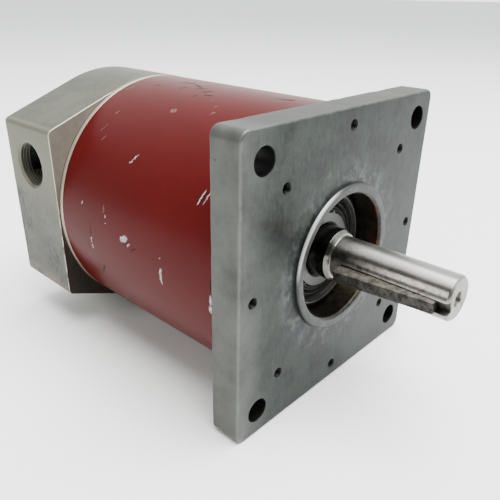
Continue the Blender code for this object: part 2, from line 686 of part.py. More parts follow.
def output_shaft(mats):
    seat_r = SHAFT_SEAT_R - HALF_FIT
    countersink = (CENTRE_HOLE_R - CENTRE_DRILL_R) / math.tan(math.radians(30))
    shaft = on_axis_turned("output_shaft", [
        (-SHAFT_REACH + countersink + 2.2 * mm, 0),
        (-SHAFT_REACH + countersink + 1.6 * mm, CENTRE_DRILL_R),
        (-SHAFT_REACH + countersink, CENTRE_DRILL_R),
        (-SHAFT_REACH, CENTRE_HOLE_R), (-SHAFT_REACH, SHAFT_R - END_CHAMFER),
        (-SHAFT_REACH + END_CHAMFER, SHAFT_R), (-0.4 * mm, SHAFT_R), (0, SHAFT_R + 0.3 * mm),
        (0, seat_r - SHOULDER_CHAMFER), (SHOULDER_CHAMFER, seat_r),
        (SHAFT_COLLAR[0], seat_r), (SHAFT_COLLAR[0], 12.3 * mm), (SHAFT_COLLAR[1], 12.3 * mm),
        (SHAFT_COLLAR[1], CARRIER_SEAT_R), (SHAFT_TAIL, CARRIER_SEAT_R), (SHAFT_TAIL, 0)],
        mats["steel"], 24)
    boolean(shaft, keyway_cutter(mats), "DIFFERENCE")


def shaft_key(mats):
    """Parallel key that has ridden up the ramp of its keyway at the back end."""
    edge = 0.35 * mm
    slope = (KEY_TOP_BACK - KEY_TOP_FRONT) / (KEY_FRONT - KEY_BACK)
    profile = [(KEY_FRONT, KEY_TOP_FRONT - KEY_HEIGHT), (KEY_FRONT, KEY_TOP_FRONT - edge),
               (KEY_FRONT - edge, KEY_TOP_FRONT + slope * edge),
               (KEY_BACK + edge, KEY_TOP_BACK - slope * edge), (KEY_BACK, KEY_TOP_BACK - edge),
               (KEY_BACK, KEY_TOP_BACK - KEY_HEIGHT)]
    side_profile("shaft_key", profile, KEY_WIDTH, mats["key"])


def planet_centres():
    return [polar(PLANET_ORBIT, planet_angle(i)) for i in range(PLANETS)]


def carrier(mats):
    pin_holes = [circle(PIN_R + FIT, 12, centre) for centre in planet_centres()]
    plate("planet_carrier", [circle(CARRIER_R, 28), circle(CARRIER_SEAT_R + FIT, 16)] + pin_holes,
          CARRIER_FRONT, CARRIER_BACK, mats["gear"])
    plate("carrier_rear_plate", [circle(CARRIER_R, 28), circle(17 * mm, 20)] + pin_holes,
          REAR_PLATE[0], REAR_PLATE[1], mats["gear"])
    for i, centre in enumerate(planet_centres()):
        pin = rods("planet_pin_" + str(i + 1), [(0, 0)], PIN_R, CARRIER_FRONT + 0.4 * mm,
                   REAR_PLATE[1] - 0.2 * mm, mats["gear"], 12)
        pin.location = (0, centre[0], AXIS_Z + centre[1])


# ---- gears ----------------------------------------------------------------------------------------------
def gears(mats):
    front, back = PLANET_WIDTH
    sun = gear_outline(SUN_TEETH, 0.0, ADDENDUM, DEDENDUM, BACKLASH)
    plate("sun_gear", [sun, circle(ROTOR_SEAT_R + HALF_FIT, 12)], front, back, mats["gear"])
    bush_r = 6.0 * mm
    for i, centre in enumerate(planet_centres()):
        place = (0, centre[0], AXIS_Z + centre[1])
        teeth = gear_outline(PLANET_TEETH, planet_phase(i), ADDENDUM, DEDENDUM, BACKLASH)
        gear = plate("planet_gear_" + str(i + 1), [teeth, circle(bush_r + FIT, 12)], front, back,
                     mats["gear"])
        gear.location = place
        bush = plate("planet_bush_" + str(i + 1), [circle(bush_r, 12), circle(PIN_R + FIT, 12)],
                     front, back, mats["bronze"])
        bush.location = place
    # the ring's gullets have the outline of an external gear half a pitch away from its teeth
    half_pitch = math.pi / RING_TEETH
    gullets = gear_outline(RING_TEETH, ring_phase() + half_pitch, DEDENDUM, ADDENDUM, -BACKLASH)
    plate("ring_gear", [notched_circle(REGISTER_R), gullets], SKIRT_END + FIT,
          MOTOR_PLATE_FRONT - FIT, mats["gear"])


# ---- motor --------------------------------------------------------------------------------------------------
def motor_plate(mats):
    """Plate between gears and motor, with the rotor's front bearing in its hub."""
    front = MOTOR_PLATE_FRONT
    back = 64.0 * mm
    hub_back = 71.2 * mm
    lip_back = 60.3 * mm
    outline = notched_circle(REGISTER_R)
    hub = circle(19.6 * mm, 20)
    seat = circle(ROTOR_FRONT_BEARING[1] + FIT, 20)
    lip = circle(13.0 * mm, 20)
    solid = SteppedSolid()
    solid.face(front, [outline, lip])
    solid.wall(outline, front, back)
    solid.face(back, [outline, hub])
    solid.wall(hub, back, hub_back)
    solid.face(hub_back, [hub, seat])
    solid.wall(seat, lip_back, hub_back)
    solid.face(lip_back, [seat, lip])
    solid.wall(lip, front, lip_back)
    solid.finish("motor_plate", mats["cast"])
    turned("motor_shaft_seal", [(front + 0.2 * mm, ROTOR_SEAT_R + FIT), (front + 0.2 * mm, 12.6 * mm),
                                (60.0 * mm, 12.6 * mm), (60.0 * mm, ROTOR_SEAT_R + FIT)],
           mats["rubber"], 16)


def stator(mats):
    front, back = STATOR_DEPTHS
    bore = []
    opening = math.asin(1.3 * mm / STATOR_BORE_R)
    slot_half = 3.1 * mm
    for i in range(SLOTS):
        middle = 2 * math.pi * i / SLOTS
        turn = Matrix.Rotation(middle, 2)
        bore.append(polar(STATOR_BORE_R, middle - opening))
        for radius, side in ((SLOT_INNER_R - 0.8 * mm, -1.3 * mm), (SLOT_INNER_R, -slot_half),
                             (SLOT_OUTER_R, -slot_half - 1.4 * mm),
                             (SLOT_OUTER_R, slot_half + 1.4 * mm), (SLOT_INNER_R, slot_half),
                             (SLOT_INNER_R - 0.8 * mm, 1.3 * mm)):
            bore.append(tuple(turn @ Vector((radius, side))))
        bore.append(polar(STATOR_BORE_R, middle + opening))
        bore.append(polar(STATOR_BORE_R, middle + math.pi / SLOTS))
    plate("stator_core", [notched_circle(REGISTER_R), bore], front, back, mats["lamination"])

    rings = bmesh.new()
    for near, far in ((66.0 * mm, front - FIT), (back + FIT, 102.0 * mm)):
        add_turned(rings, [(near, 30.0 * mm), (near, 41.0 * mm), (far, 41.0 * mm),
                           (far, 30.0 * mm)], 20)
    windings = add_object("stator_windings", rings, mats["copper"])
    bars = bmesh.new()
    inset = 0.45 * mm
    for i in range(SLOTS):
        turn = Matrix.Rotation(2 * math.pi * i / SLOTS, 2)
        corners = ((SLOT_INNER_R + inset, -slot_half + inset),
                   (SLOT_OUTER_R - inset, -slot_half - 1.2 * mm + inset),
                   (SLOT_OUTER_R - inset, slot_half + 1.2 * mm - inset),
                   (SLOT_INNER_R + inset, slot_half - inset))
        add_plate(bars, [[tuple(turn @ Vector(corner)) for corner in corners]],
                  front - 2 * mm, back + 2 * mm)
    boolean(windings, add_object("winding_bars", bars, mats["guide"]), "UNION")


def rotor(mats):
    front, back = STATOR_DEPTHS
    seat_r = ROTOR_SEAT_R - HALF_FIT
    body_r = 8.0 * mm
    on_axis_turned("rotor_shaft", [
        (42.7 * mm, 0), (42.7 * mm, seat_r - 0.5 * mm), (43.2 * mm, seat_r), (71.2 * mm, seat_r),
        (71.2 * mm, body_r), (100.4 * mm, body_r), (100.4 * mm, seat_r), (111.8 * mm, seat_r),
        (112.3 * mm, seat_r - 0.5 * mm), (112.3 * mm, 0)], mats["steel"], 16)
    bars = [polar(ROTOR_BAR_CIRCLE_R, 2 * math.pi * i / ROTOR_BARS) for i in range(ROTOR_BARS)]
    slots = [circle(ROTOR_BAR_R + FIT, 6, centre) for centre in bars]
    plate("rotor_core", [circle(ROTOR_R, 28), circle(body_r + FIT, 16)] + slots, front, back,
          mats["lamination"])
    rings = bmesh.new()
    for near, far in ((front - 3.3 * mm, front - FIT), (back + FIT, back + 3.3 * mm)):
        add_turned(rings, [(near, END_RING_R[0]), (near, END_RING_R[1]), (far, END_RING_R[1]),
                           (far, END_RING_R[0])], 20)
    cage = add_object("rotor_cage", rings, mats["cast"])
    bar_rods = rods("rotor_bars", bars, ROTOR_BAR_R, front - 2 * mm, back + 2 * mm,
                    mats["guide"], 6)
    boolean(cage, bar_rods, "UNION")


def wave_washer(mats):
    """Spring washer with three waves, behind the rotor's rear bearing."""
    bm = bmesh.new()
    steps = 24
    rings = []
    for i in range(steps):
        angle = 2 * math.pi * i / steps
        middle = 112.0 * mm + 0.3 * mm * math.sin(3 * angle)
        ring = []
        for depth, radius in ((middle - 0.2 * mm, 12.5 * mm), (middle - 0.2 * mm, 15.6 * mm),
                              (middle + 0.2 * mm, 15.6 * mm), (middle + 0.2 * mm, 12.5 * mm)):
            y, z = polar(radius, angle)
            ring.append(bm.verts.new((x_at(depth), y, z)))
        rings.append(ring)
    for i in range(steps):
        here = rings[i]
        there = rings[(i + 1) % steps]
        for j in range(4):
            bm.faces.new((here[j], here[(j + 1) % 4], there[(j + 1) % 4], there[j]))
    add_object("wave_washer", bm, mats["spring"])


# ---- terminals -------------------------------------------------------------------------------------------------
BLOCK_Y = (-39 * mm, -23 * mm)
BLOCK_Z = (-30 * mm, -6 * mm)
BLOCK_TOP = 122.0 * mm
TERMINALS = [(-31 * mm, -26 * mm), (-31 * mm, -18 * mm), (-31 * mm, -10 * mm)]


def terminals(mats):
    y0, y1 = BLOCK_Y
    z0, z1 = BLOCK_Z
    outline = [(y0, z0), (y1, z0), (y1, z1), (y0, z1)]
    holes = [circle(2.0 * mm, 10, centre) for centre in TERMINALS]
    plate("terminal_block", [outline] + holes, BULKHEAD_BACK + FIT, BLOCK_TOP, mats["plastic"])
    for i, centre in enumerate(TERMINALS):
        cap_screw("terminal_screw_" + str(i + 1), centre, BLOCK_TOP + FIT, BULKHEAD_BACK + 2 * mm,
                  1.6 * mm, 3.0 * mm, 2.4 * mm, mats["brass"], 8)


def lead_cable(mats):
    """Cable from the rear end turns, through the bulkhead's grommet, to the terminal block."""
    y, z = LEAD_HOLE
    grommet = turned("lead_grommet", [
        (103.5 * mm, LEAD_R + FIT), (103.5 * mm, LEAD_HOLE_R - FIT),
        (BULKHEAD_BACK - 0.2 * mm, LEAD_HOLE_R - FIT), (BULKHEAD_BACK - 0.2 * mm, LEAD_R + FIT)],
        mats["rubber"], 14)
    grommet.location = (0, y, AXIS_Z + z)
    start = Vector((x_at(102.5 * mm), y, z))
    through = Vector((x_at(111.0 * mm), y, z))
    last = Vector((x_at(115.0 * mm), y, BLOCK_Z[1] + FIT + 0.2 * mm))
    curve = bpy.data.curves.new("motor_lead", "CURVE")
    curve.dimensions = "3D"
    curve.bevel_depth = LEAD_R
    curve.bevel_resolution = 2
    curve.use_fill_caps = True
    points = [start, through.lerp(start, 0.5)]
    steps = 8
    for i in range(steps + 1):
        t = i / steps
        points.append((1 - t) ** 2 * through + 2 * (1 - t) * t * Vector((last.x, y, z)) + t ** 2 * last)
    spline = curve.splines.new("POLY")
    spline.points.add(len(points) - 1)
    for point, place in zip(spline.points, points):
        point.co = (*place, 1.0)
    curve.materials.append(mats["lead"])
    obj = bpy.data.objects.new("motor_lead", curve)
    obj.location = (0, 0, AXIS_Z)
    bpy.context.scene.collection.objects.link(obj)


def build():
    clear_scene()
    mats = make_materials()
    front_flange(mats)
    drum_shell(mats)
    rear_end_bell(mats)
    rear_cover(mats)
    fasteners(mats)
    bearings(mats)
    inner_seat = INNER_BEARING[1] + FIT
    snap_ring("hub_snap_ring", inner_seat - 1.6 * mm, inner_seat + 0.8 * mm,
              SNAP_GROOVE[0] + FIT, SNAP_GROOVE[1] - FIT, math.radians(40), mats)
    output_shaft(mats)
    shaft_key(mats)
    carrier(mats)
    gears(mats)
    motor_plate(mats)
    stator(mats)
    rotor(mats)
    wave_washer(mats)
    terminals(mats)
    lead_cable(mats)


build()
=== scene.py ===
"""Looks of the flange-mounted gearmotor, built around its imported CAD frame.

Every mesh is made in the row frame, in metres, so its object coordinates are the frame's
coordinates at rest and a material can place a stain or a scratch by them.  Stations along
the shaft are depths: the distance behind the flange's front face, negative in front of it.
"""
import json
import math

import bmesh
import bpy
from mathutils import Matrix, Vector, noise


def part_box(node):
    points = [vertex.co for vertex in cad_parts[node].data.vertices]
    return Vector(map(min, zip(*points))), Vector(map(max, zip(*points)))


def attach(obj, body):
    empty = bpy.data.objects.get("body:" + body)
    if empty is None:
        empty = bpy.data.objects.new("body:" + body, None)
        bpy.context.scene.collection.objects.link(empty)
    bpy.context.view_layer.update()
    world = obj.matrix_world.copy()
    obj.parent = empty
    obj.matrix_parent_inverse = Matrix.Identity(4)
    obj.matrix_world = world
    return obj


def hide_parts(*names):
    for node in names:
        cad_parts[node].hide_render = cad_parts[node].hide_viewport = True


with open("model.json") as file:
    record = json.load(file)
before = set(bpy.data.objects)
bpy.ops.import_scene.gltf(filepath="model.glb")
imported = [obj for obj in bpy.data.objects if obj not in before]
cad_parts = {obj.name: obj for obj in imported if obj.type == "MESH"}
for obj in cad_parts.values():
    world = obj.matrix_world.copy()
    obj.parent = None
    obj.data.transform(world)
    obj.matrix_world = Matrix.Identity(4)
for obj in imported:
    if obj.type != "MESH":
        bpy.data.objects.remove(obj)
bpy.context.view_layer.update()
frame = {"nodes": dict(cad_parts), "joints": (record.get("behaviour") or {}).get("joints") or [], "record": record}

# ---- sizes, from the frame where it has them ------------------------------------------------
mm = 0.001
MOUNTS = {mount["name"]: mount["pos_m"] for mount in frame["record"]["mounts"]}
JOINTS = {joint["name"]: joint["pos_m"] for joint in frame["joints"]}
FACE_X = MOUNTS["flange_face"][0]
AXIS_Z = JOINTS["output_spin"][2]
FIT = 0.3 * mm         # play between pieces in the CAD model
SEW = 0.0005 * mm      # vertices closer than this are one vertex
ON_AXIS = 1e-7         # a radius smaller than this is a point on the shaft line

FLANGE_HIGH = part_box("front_flange")[1]
DRUM_LOW, DRUM_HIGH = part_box("drum_shell")
BELL_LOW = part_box("rear_end_bell")[0]
SHAFT_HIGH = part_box("output_shaft")[1]

FLANGE_HALF = FLANGE_HIGH.y
FLANGE_THICK = 2 * FACE_X       # the frame's origin is half way through the flange
FLANGE_CORNER = 3.6 * mm
PILOT_HEIGHT = FLANGE_HIGH.x - FACE_X
PILOT_R = 27.75 * mm
BOLT_HALF_PITCH = 44.45 * mm
BOLT_HOLE_R = 4.45 * mm
TAPPED_CIRCLE_R = 48.1 * mm
TAPPED_HOLE_R = 1.8 * mm
BEARING_BORE_R = 23.8 * mm
DRUM_R = DRUM_HIGH.y
DRUM_FRONT = FACE_X - DRUM_HIGH.x
DRUM_BACK = FACE_X - DRUM_LOW.x
DRUM_WALL = 2.6 * mm
DRUM_END = DRUM_BACK + FIT
BELL_FRONT = DRUM_END + 1.8 * mm
BELL_BACK = FACE_X - BELL_LOW.x
BELL_R = 53.4 * mm
BELL_FLAT = -BELL_LOW.y
BELL_FLAT_HALF = 36.2 * mm
BELL_WALL = 5.0 * mm
BULKHEAD_BACK = 110.0 * mm
REGISTER_R = 50.3 * mm
NOTCH_R = 2.7 * mm
CONDUIT_DEPTH = FACE_X - MOUNTS["conduit_face"][0]
CONDUIT_Z = AXIS_Z + 19.0 * mm
CONDUIT_R = 9.5 * mm
SHAFT_R = 7.94 * mm
SHAFT_SEAT_R = 9.85 * mm
SEAL_SEAT_R = 21.3 * mm
SHAFT_REACH = SHAFT_HIGH.x - FACE_X
KEY_ANGLE = math.radians(188.5)

DIAGONALS = [math.radians(45 + 90 * i) for i in range(4)]


def x_at(depth):
    """The frame's X at a depth."""
    return FACE_X - depth


def polar(radius, angle):
    """The two coordinates of a point on a circle."""
    return (radius * math.cos(angle), radius * math.sin(angle))


# ---- mesh helpers ---------------------------------------------------------------------------
def sewn_mesh(bm, name):
    """A smooth mesh of the closed surface in bm, which is used up."""
    bmesh.ops.remove_doubles(bm, verts=bm.verts, dist=SEW)
    bmesh.ops.recalc_face_normals(bm, faces=bm.faces)
    mesh = bpy.data.meshes.new(name)
    bm.to_mesh(mesh)
    bm.free()
    mesh.shade_smooth()
    return mesh


def linked(name, data):
    """A new object in the scene."""
    obj = bpy.data.objects.new(name, data)
    bpy.context.scene.collection.objects.link(obj)
    return obj


def even_normals(obj, sharp):
    """Keep edges of more than sharp degrees sharp, and weight the normals by face area."""
    obj.data.set_sharp_from_angle(angle=math.radians(sharp))
    obj.modifiers.new("weighted_normals", "WEIGHTED_NORMAL").keep_sharp = True


def piece(name, bm, body, nodes, slot, look=None, sharp=30):
    """A finished piece that rides on a body, in place of CAD nodes."""
    obj = linked(name, sewn_mesh(bm, name))
    obj.data.materials.append(look or LOOKS[slot])
    even_normals(obj, sharp)
    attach(obj, body)
    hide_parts(*nodes)
    return obj


def cut(obj, bm, operation="DIFFERENCE"):
    """Apply an exact Boolean with the closed shape in bm."""
    other = linked("cutter", sewn_mesh(bm, "cutter"))
    obj.modifiers.remove(obj.modifiers["weighted_normals"])
    modifier = obj.modifiers.new("cut", "BOOLEAN")
    modifier.operation = operation
    modifier.solver = "EXACT"
    modifier.object = other
    bpy.context.view_layer.update()
    depsgraph = bpy.context.evaluated_depsgraph_get()
    result = bpy.data.meshes.new_from_object(obj.evaluated_get(depsgraph))
    obj.modifiers.remove(modifier)
    bpy.data.objects.remove(other)
    result.shade_smooth()
    obj.data = result
    even_normals(obj, 30)


def round_edge(depth, into, radius, steps=4):
    """(inset, depth) stations from a flat face at depth round to a wall; into is +1 or -1."""
    stations = []
    for k in range(steps + 1):
        angle = math.pi / 2 * k / steps
        stations.append((radius * (1 - math.sin(angle)),
                         depth + into * radius * (1 - math.cos(angle))))
    return stations


def rounded_wall(front, back, front_radius, back_radius, steps=4):
    """Stations of a wall with rounded edges at both its ends."""
    return (round_edge(front, 1, front_radius, steps) +
            round_edge(back, -1, back_radius, steps)[::-1])


class Shell:
    """A surface sewn from walls along the shaft and flat faces across it."""

    def __init__(self):
        self.bm = bmesh.new()

    def row(self, points, depth):
        return [self.bm.verts.new((x_at(depth), y, AXIS_Z + z)) for y, z in points]

    def wall(self, outline, stations):
        """Join the outline's loops at (inset, depth) stations."""
        rows = [self.row(outline(inset), depth) for inset, depth in stations]
        for near, far in zip(rows, rows[1:]):
            for i in range(len(near)):
                j = (i + 1) % len(near)
                self.bm.faces.new((near[i], near[j], far[j], far[i]))

    def tube(self, points, front, back):
        """A straight wall between two depths."""
        self.wall(lambda inset: points, [(0, front), (0, back)])

    def face(self, depth, loops):
        """Flat face inside the first loop and outside the others."""
        edges = []
        for points in loops:
            row = self.row(points, depth)
            edges += [self.bm.edges.new((row[i], row[(i + 1) % len(row)]))
                      for i in range(len(row))]
        bmesh.ops.triangle_fill(self.bm, use_beauty=True, use_dissolve=False, edges=edges)


def circle(radius, segments, centre=(0, 0)):
    """Points of a circle about centre."""
    step = 2 * math.pi / segments
    return [(centre[0] + radius * math.cos(i * step), centre[1] + radius * math.sin(i * step))
            for i in range(segments)]


def hole(radius, segments, centre=(0, 0)):
    """Outline function of a hole, which widens with the inset."""
    return lambda inset: circle(radius + inset, segments, centre)


def disc(radius, segments):
    """Outline function of a round boss, which narrows with the inset."""
    return lambda inset: circle(radius - inset, segments)


def fillet(profile, radius, steps=4):
    """Round the corners of a closed (depth, radius) profile that bend by more than 20 degrees."""
    rounded = []
    count = len(profile)
    for i in range(count):
        here = Vector(profile[i])
        before = Vector(profile[i - 1]) - here
        after = Vector(profile[(i + 1) % count]) - here
        bend = math.pi - before.angle(after)
        reach = min(radius * math.tan(bend / 2), 0.45 * before.length, 0.45 * after.length)
        if bend < math.radians(20) or here.y < 1e-6:
            rounded.append(tuple(here))
            continue
        start = here + before.normalized() * reach
        end = here + after.normalized() * reach
        for k in range(steps + 1):
            t = k / steps
            rounded.append(tuple((1 - t) ** 2 * start + 2 * (1 - t) * t * here + t ** 2 * end))
    return rounded


def spin(profile, segments, centre=(0, 0)):
    """Turn a closed (depth, radius) profile about an axis along X."""
    bm = bmesh.new()
    rows = []
    for i in range(segments):
        cos, sin = polar(1, 2 * math.pi * i / segments)
        rows.append([bm.verts.new((x_at(depth), centre[0] + radius * cos,
                                   AXIS_Z + centre[1] + radius * sin))
                     for depth, radius in profile])
    for i in range(segments):
        near, far = rows[i], rows[(i + 1) % segments]
        for j in range(len(profile)):
            k = (j + 1) % len(profile)
            on_axis = (profile[j][1] < ON_AXIS, profile[k][1] < ON_AXIS)
            if all(on_axis):
                continue
            corners = [near[j], near[k], far[k], far[j]]
            if any(on_axis):
                corners.pop(3 if on_axis[0] else 2)
            bm.faces.new(corners)
    bmesh.ops.remove_doubles(bm, verts=bm.verts, dist=SEW)
    return bm


def outward(place):
    """Direction away from the shaft line."""
    return Vector((0.0, place.y, place.z - AXIS_Z)).normalized()


def wear(bm, test, amount, grain):
    """Push the vertices that pass the test a little towards the shaft line, unevenly."""
    for vert in bm.verts:
        if test(vert.co):
            dent = noise.noise(vert.co * grain) + 0.3 * noise.noise(vert.co * grain * 3.1)
            vert.co -= outward(vert.co) * max(0.0, dent) * amount


# ---- material helpers -----------------------------------------------------------------------
def arithmetic(operation, swapped=False):
    """A method of Value for one of Python's operators."""
    def work(self, other):
        return self.tree.math(operation, *((other, self) if swapped else (self, other)))
    return work


class Value:
    """A number that a shader tree works out at each point."""

    __add__ = arithmetic("ADD")
    __sub__ = arithmetic("SUBTRACT")
    __rsub__ = arithmetic("SUBTRACT", swapped=True)
    __mul__ = arithmetic("MULTIPLY")
    __truediv__ = arithmetic("DIVIDE")

    def __init__(self, tree, socket):
        self.tree = tree
        self.socket = socket

    def __abs__(self):
        return self.tree.math("ABSOLUTE", self)


def larger(a, b):
    return a.tree.math("MAXIMUM", a, b)


def smaller(a, b):
    return a.tree.math("MINIMUM", a, b)


class Tree:
    """A shader tree and short ways to add nodes to it."""

    def __init__(self, tree):
        self.nodes = tree.nodes
        self.links = tree.links

    def node(self, kind, **settings):
        made = self.nodes.new(kind)
        for key, value in settings.items():
            setattr(made, key, value)
        return made

    def put(self, socket, value):
        value = getattr(value, "socket", value)
        if isinstance(value, bpy.types.NodeSocket):
            self.links.new(value, socket)
        elif isinstance(value, tuple) and len(value) == 3 and socket.type == "RGBA":
            socket.default_value = (*value, 1.0)
        else:
            socket.default_value = value

    def fed(self, made, output, *values):
        """Give a node its first inputs; its output as a Value."""
        for socket, value in zip(made.inputs, values):
            self.put(socket, value)
        return Value(self, made.outputs[output])

    def math(self, operation, a, b=0.0):
        return self.fed(self.node("ShaderNodeMath", operation=operation), 0, a, b)

    def ramp(self, value, low, high, start, end, kind="LINEAR"):
        """Map low..high to start..end, and what lies outside to the nearer end."""
        made = self.node("ShaderNodeMapRange", interpolation_type=kind)
        return self.fed(made, "Result", value, low, high, start, end)

    def step(self, value, low, high):
        """0 below low, 1 above high, smooth between; low may be the larger one."""
        if low < high:
            return self.ramp(value, low, high, 0.0, 1.0, "SMOOTHSTEP")
        return self.ramp(value, high, low, 1.0, 0.0, "SMOOTHSTEP")

    def span(self, value, low, high):
        """Map 0..1 to low..high."""
        return self.ramp(value, 0.0, 1.0, low, high)


class Look(Tree):
    """A Principled material and short ways to add procedural detail to it."""

    def __init__(self, name, roughness=0.5, metallic=0.0, specular=0.5):
        self.material = bpy.data.materials.new(name)
        self.material.use_nodes = True
        super().__init__(self.material.node_tree)
        self.shader = self.nodes["Principled BSDF"]
        self.shader.inputs["Roughness"].default_value = roughness
        self.shader.inputs["Metallic"].default_value = metallic
        self.shader.inputs["Specular IOR Level"].default_value = specular
        self.place = self.node("ShaderNodeTexCoord").outputs["Object"]

    def stretched(self, scale):
        """Object coordinates, scaled along each axis."""
        made = self.node("ShaderNodeMapping")
        made.inputs["Scale"].default_value = scale
        return self.fed(made, "Vector", self.place)

    def noise(self, size, detail=3.0, roughness=0.55, vector=None):
        """Noise whose features are about size metres across."""
        made = self.node("ShaderNodeTexNoise")
        made.inputs["Scale"].default_value = 1 / size
        made.inputs["Detail"].default_value = detail
        made.inputs["Roughness"].default_value = roughness
        return self.fed(made, "Fac", vector or self.place)

    def cells(self, size):
        """Distance to scattered points that are about size metres apart, from 0 at a point."""
        made = self.node("ShaderNodeTexVoronoi")
        made.inputs["Scale"].default_value = 1 / size
        return self.fed(made, "Distance", self.place)

    def mix(self, factor, a, b):
        made = self.node("ShaderNodeMix", data_type="RGBA")
        for index, value in ((0, factor), (6, a), (7, b)):
            self.put(made.inputs[index], value)
        return Value(self, made.outputs[2])

    def axes(self):
        """X, Y and height above the shaft line, as three Values."""
        made = self.node("ShaderNodeSeparateXYZ")
        self.put(made.inputs[0], self.place)
        x, y, z = (Value(self, socket) for socket in made.outputs)
        return x, y, z - AXIS_Z

    def radius(self, y, z):
        return self.math("SQRT", y * y + z * z)

    def rings(self, size):
        """Noise that is even around the shaft: fine grooves left by turning."""
        x, y, z = self.axes()
        made = self.node("ShaderNodeCombineXYZ")
        return self.noise(size, 2.0, 0.7, self.fed(made, 0, x, self.radius(y, z)))

    def near(self, a, b, centre, reach, edge, grain=4 * mm):
        """1 within reach of the point where the Values a and b are centre, ragged at its edge."""
        far = self.radius(a - centre[0], b - centre[1])
        ragged = far + self.noise(grain, 4.0, 0.65) * edge
        return self.step(ragged, reach + edge, reach)

    def blend(self, base, factor, strength, other):
        """Mix a colour over base where factor is 1, at the given strength."""
        return self.mix(factor * strength, base, other)

    def colour(self, value):
        self.put(self.shader.inputs["Base Color"], value)

    def rough(self, value):
        self.put(self.shader.inputs["Roughness"], value)

    def bump(self, height, depth, strength=1.0):
        """Add relief on top of the relief that is there already."""
        made = self.node("ShaderNodeBump")
        normal = self.shader.inputs["Normal"]
        self.put(made.inputs["Height"], height)
        made.inputs["Distance"].default_value = depth
        made.inputs["Strength"].default_value = strength
        if normal.is_linked:
            self.put(made.inputs["Normal"], normal.links[0].from_socket)
        self.put(normal, made.outputs["Normal"])


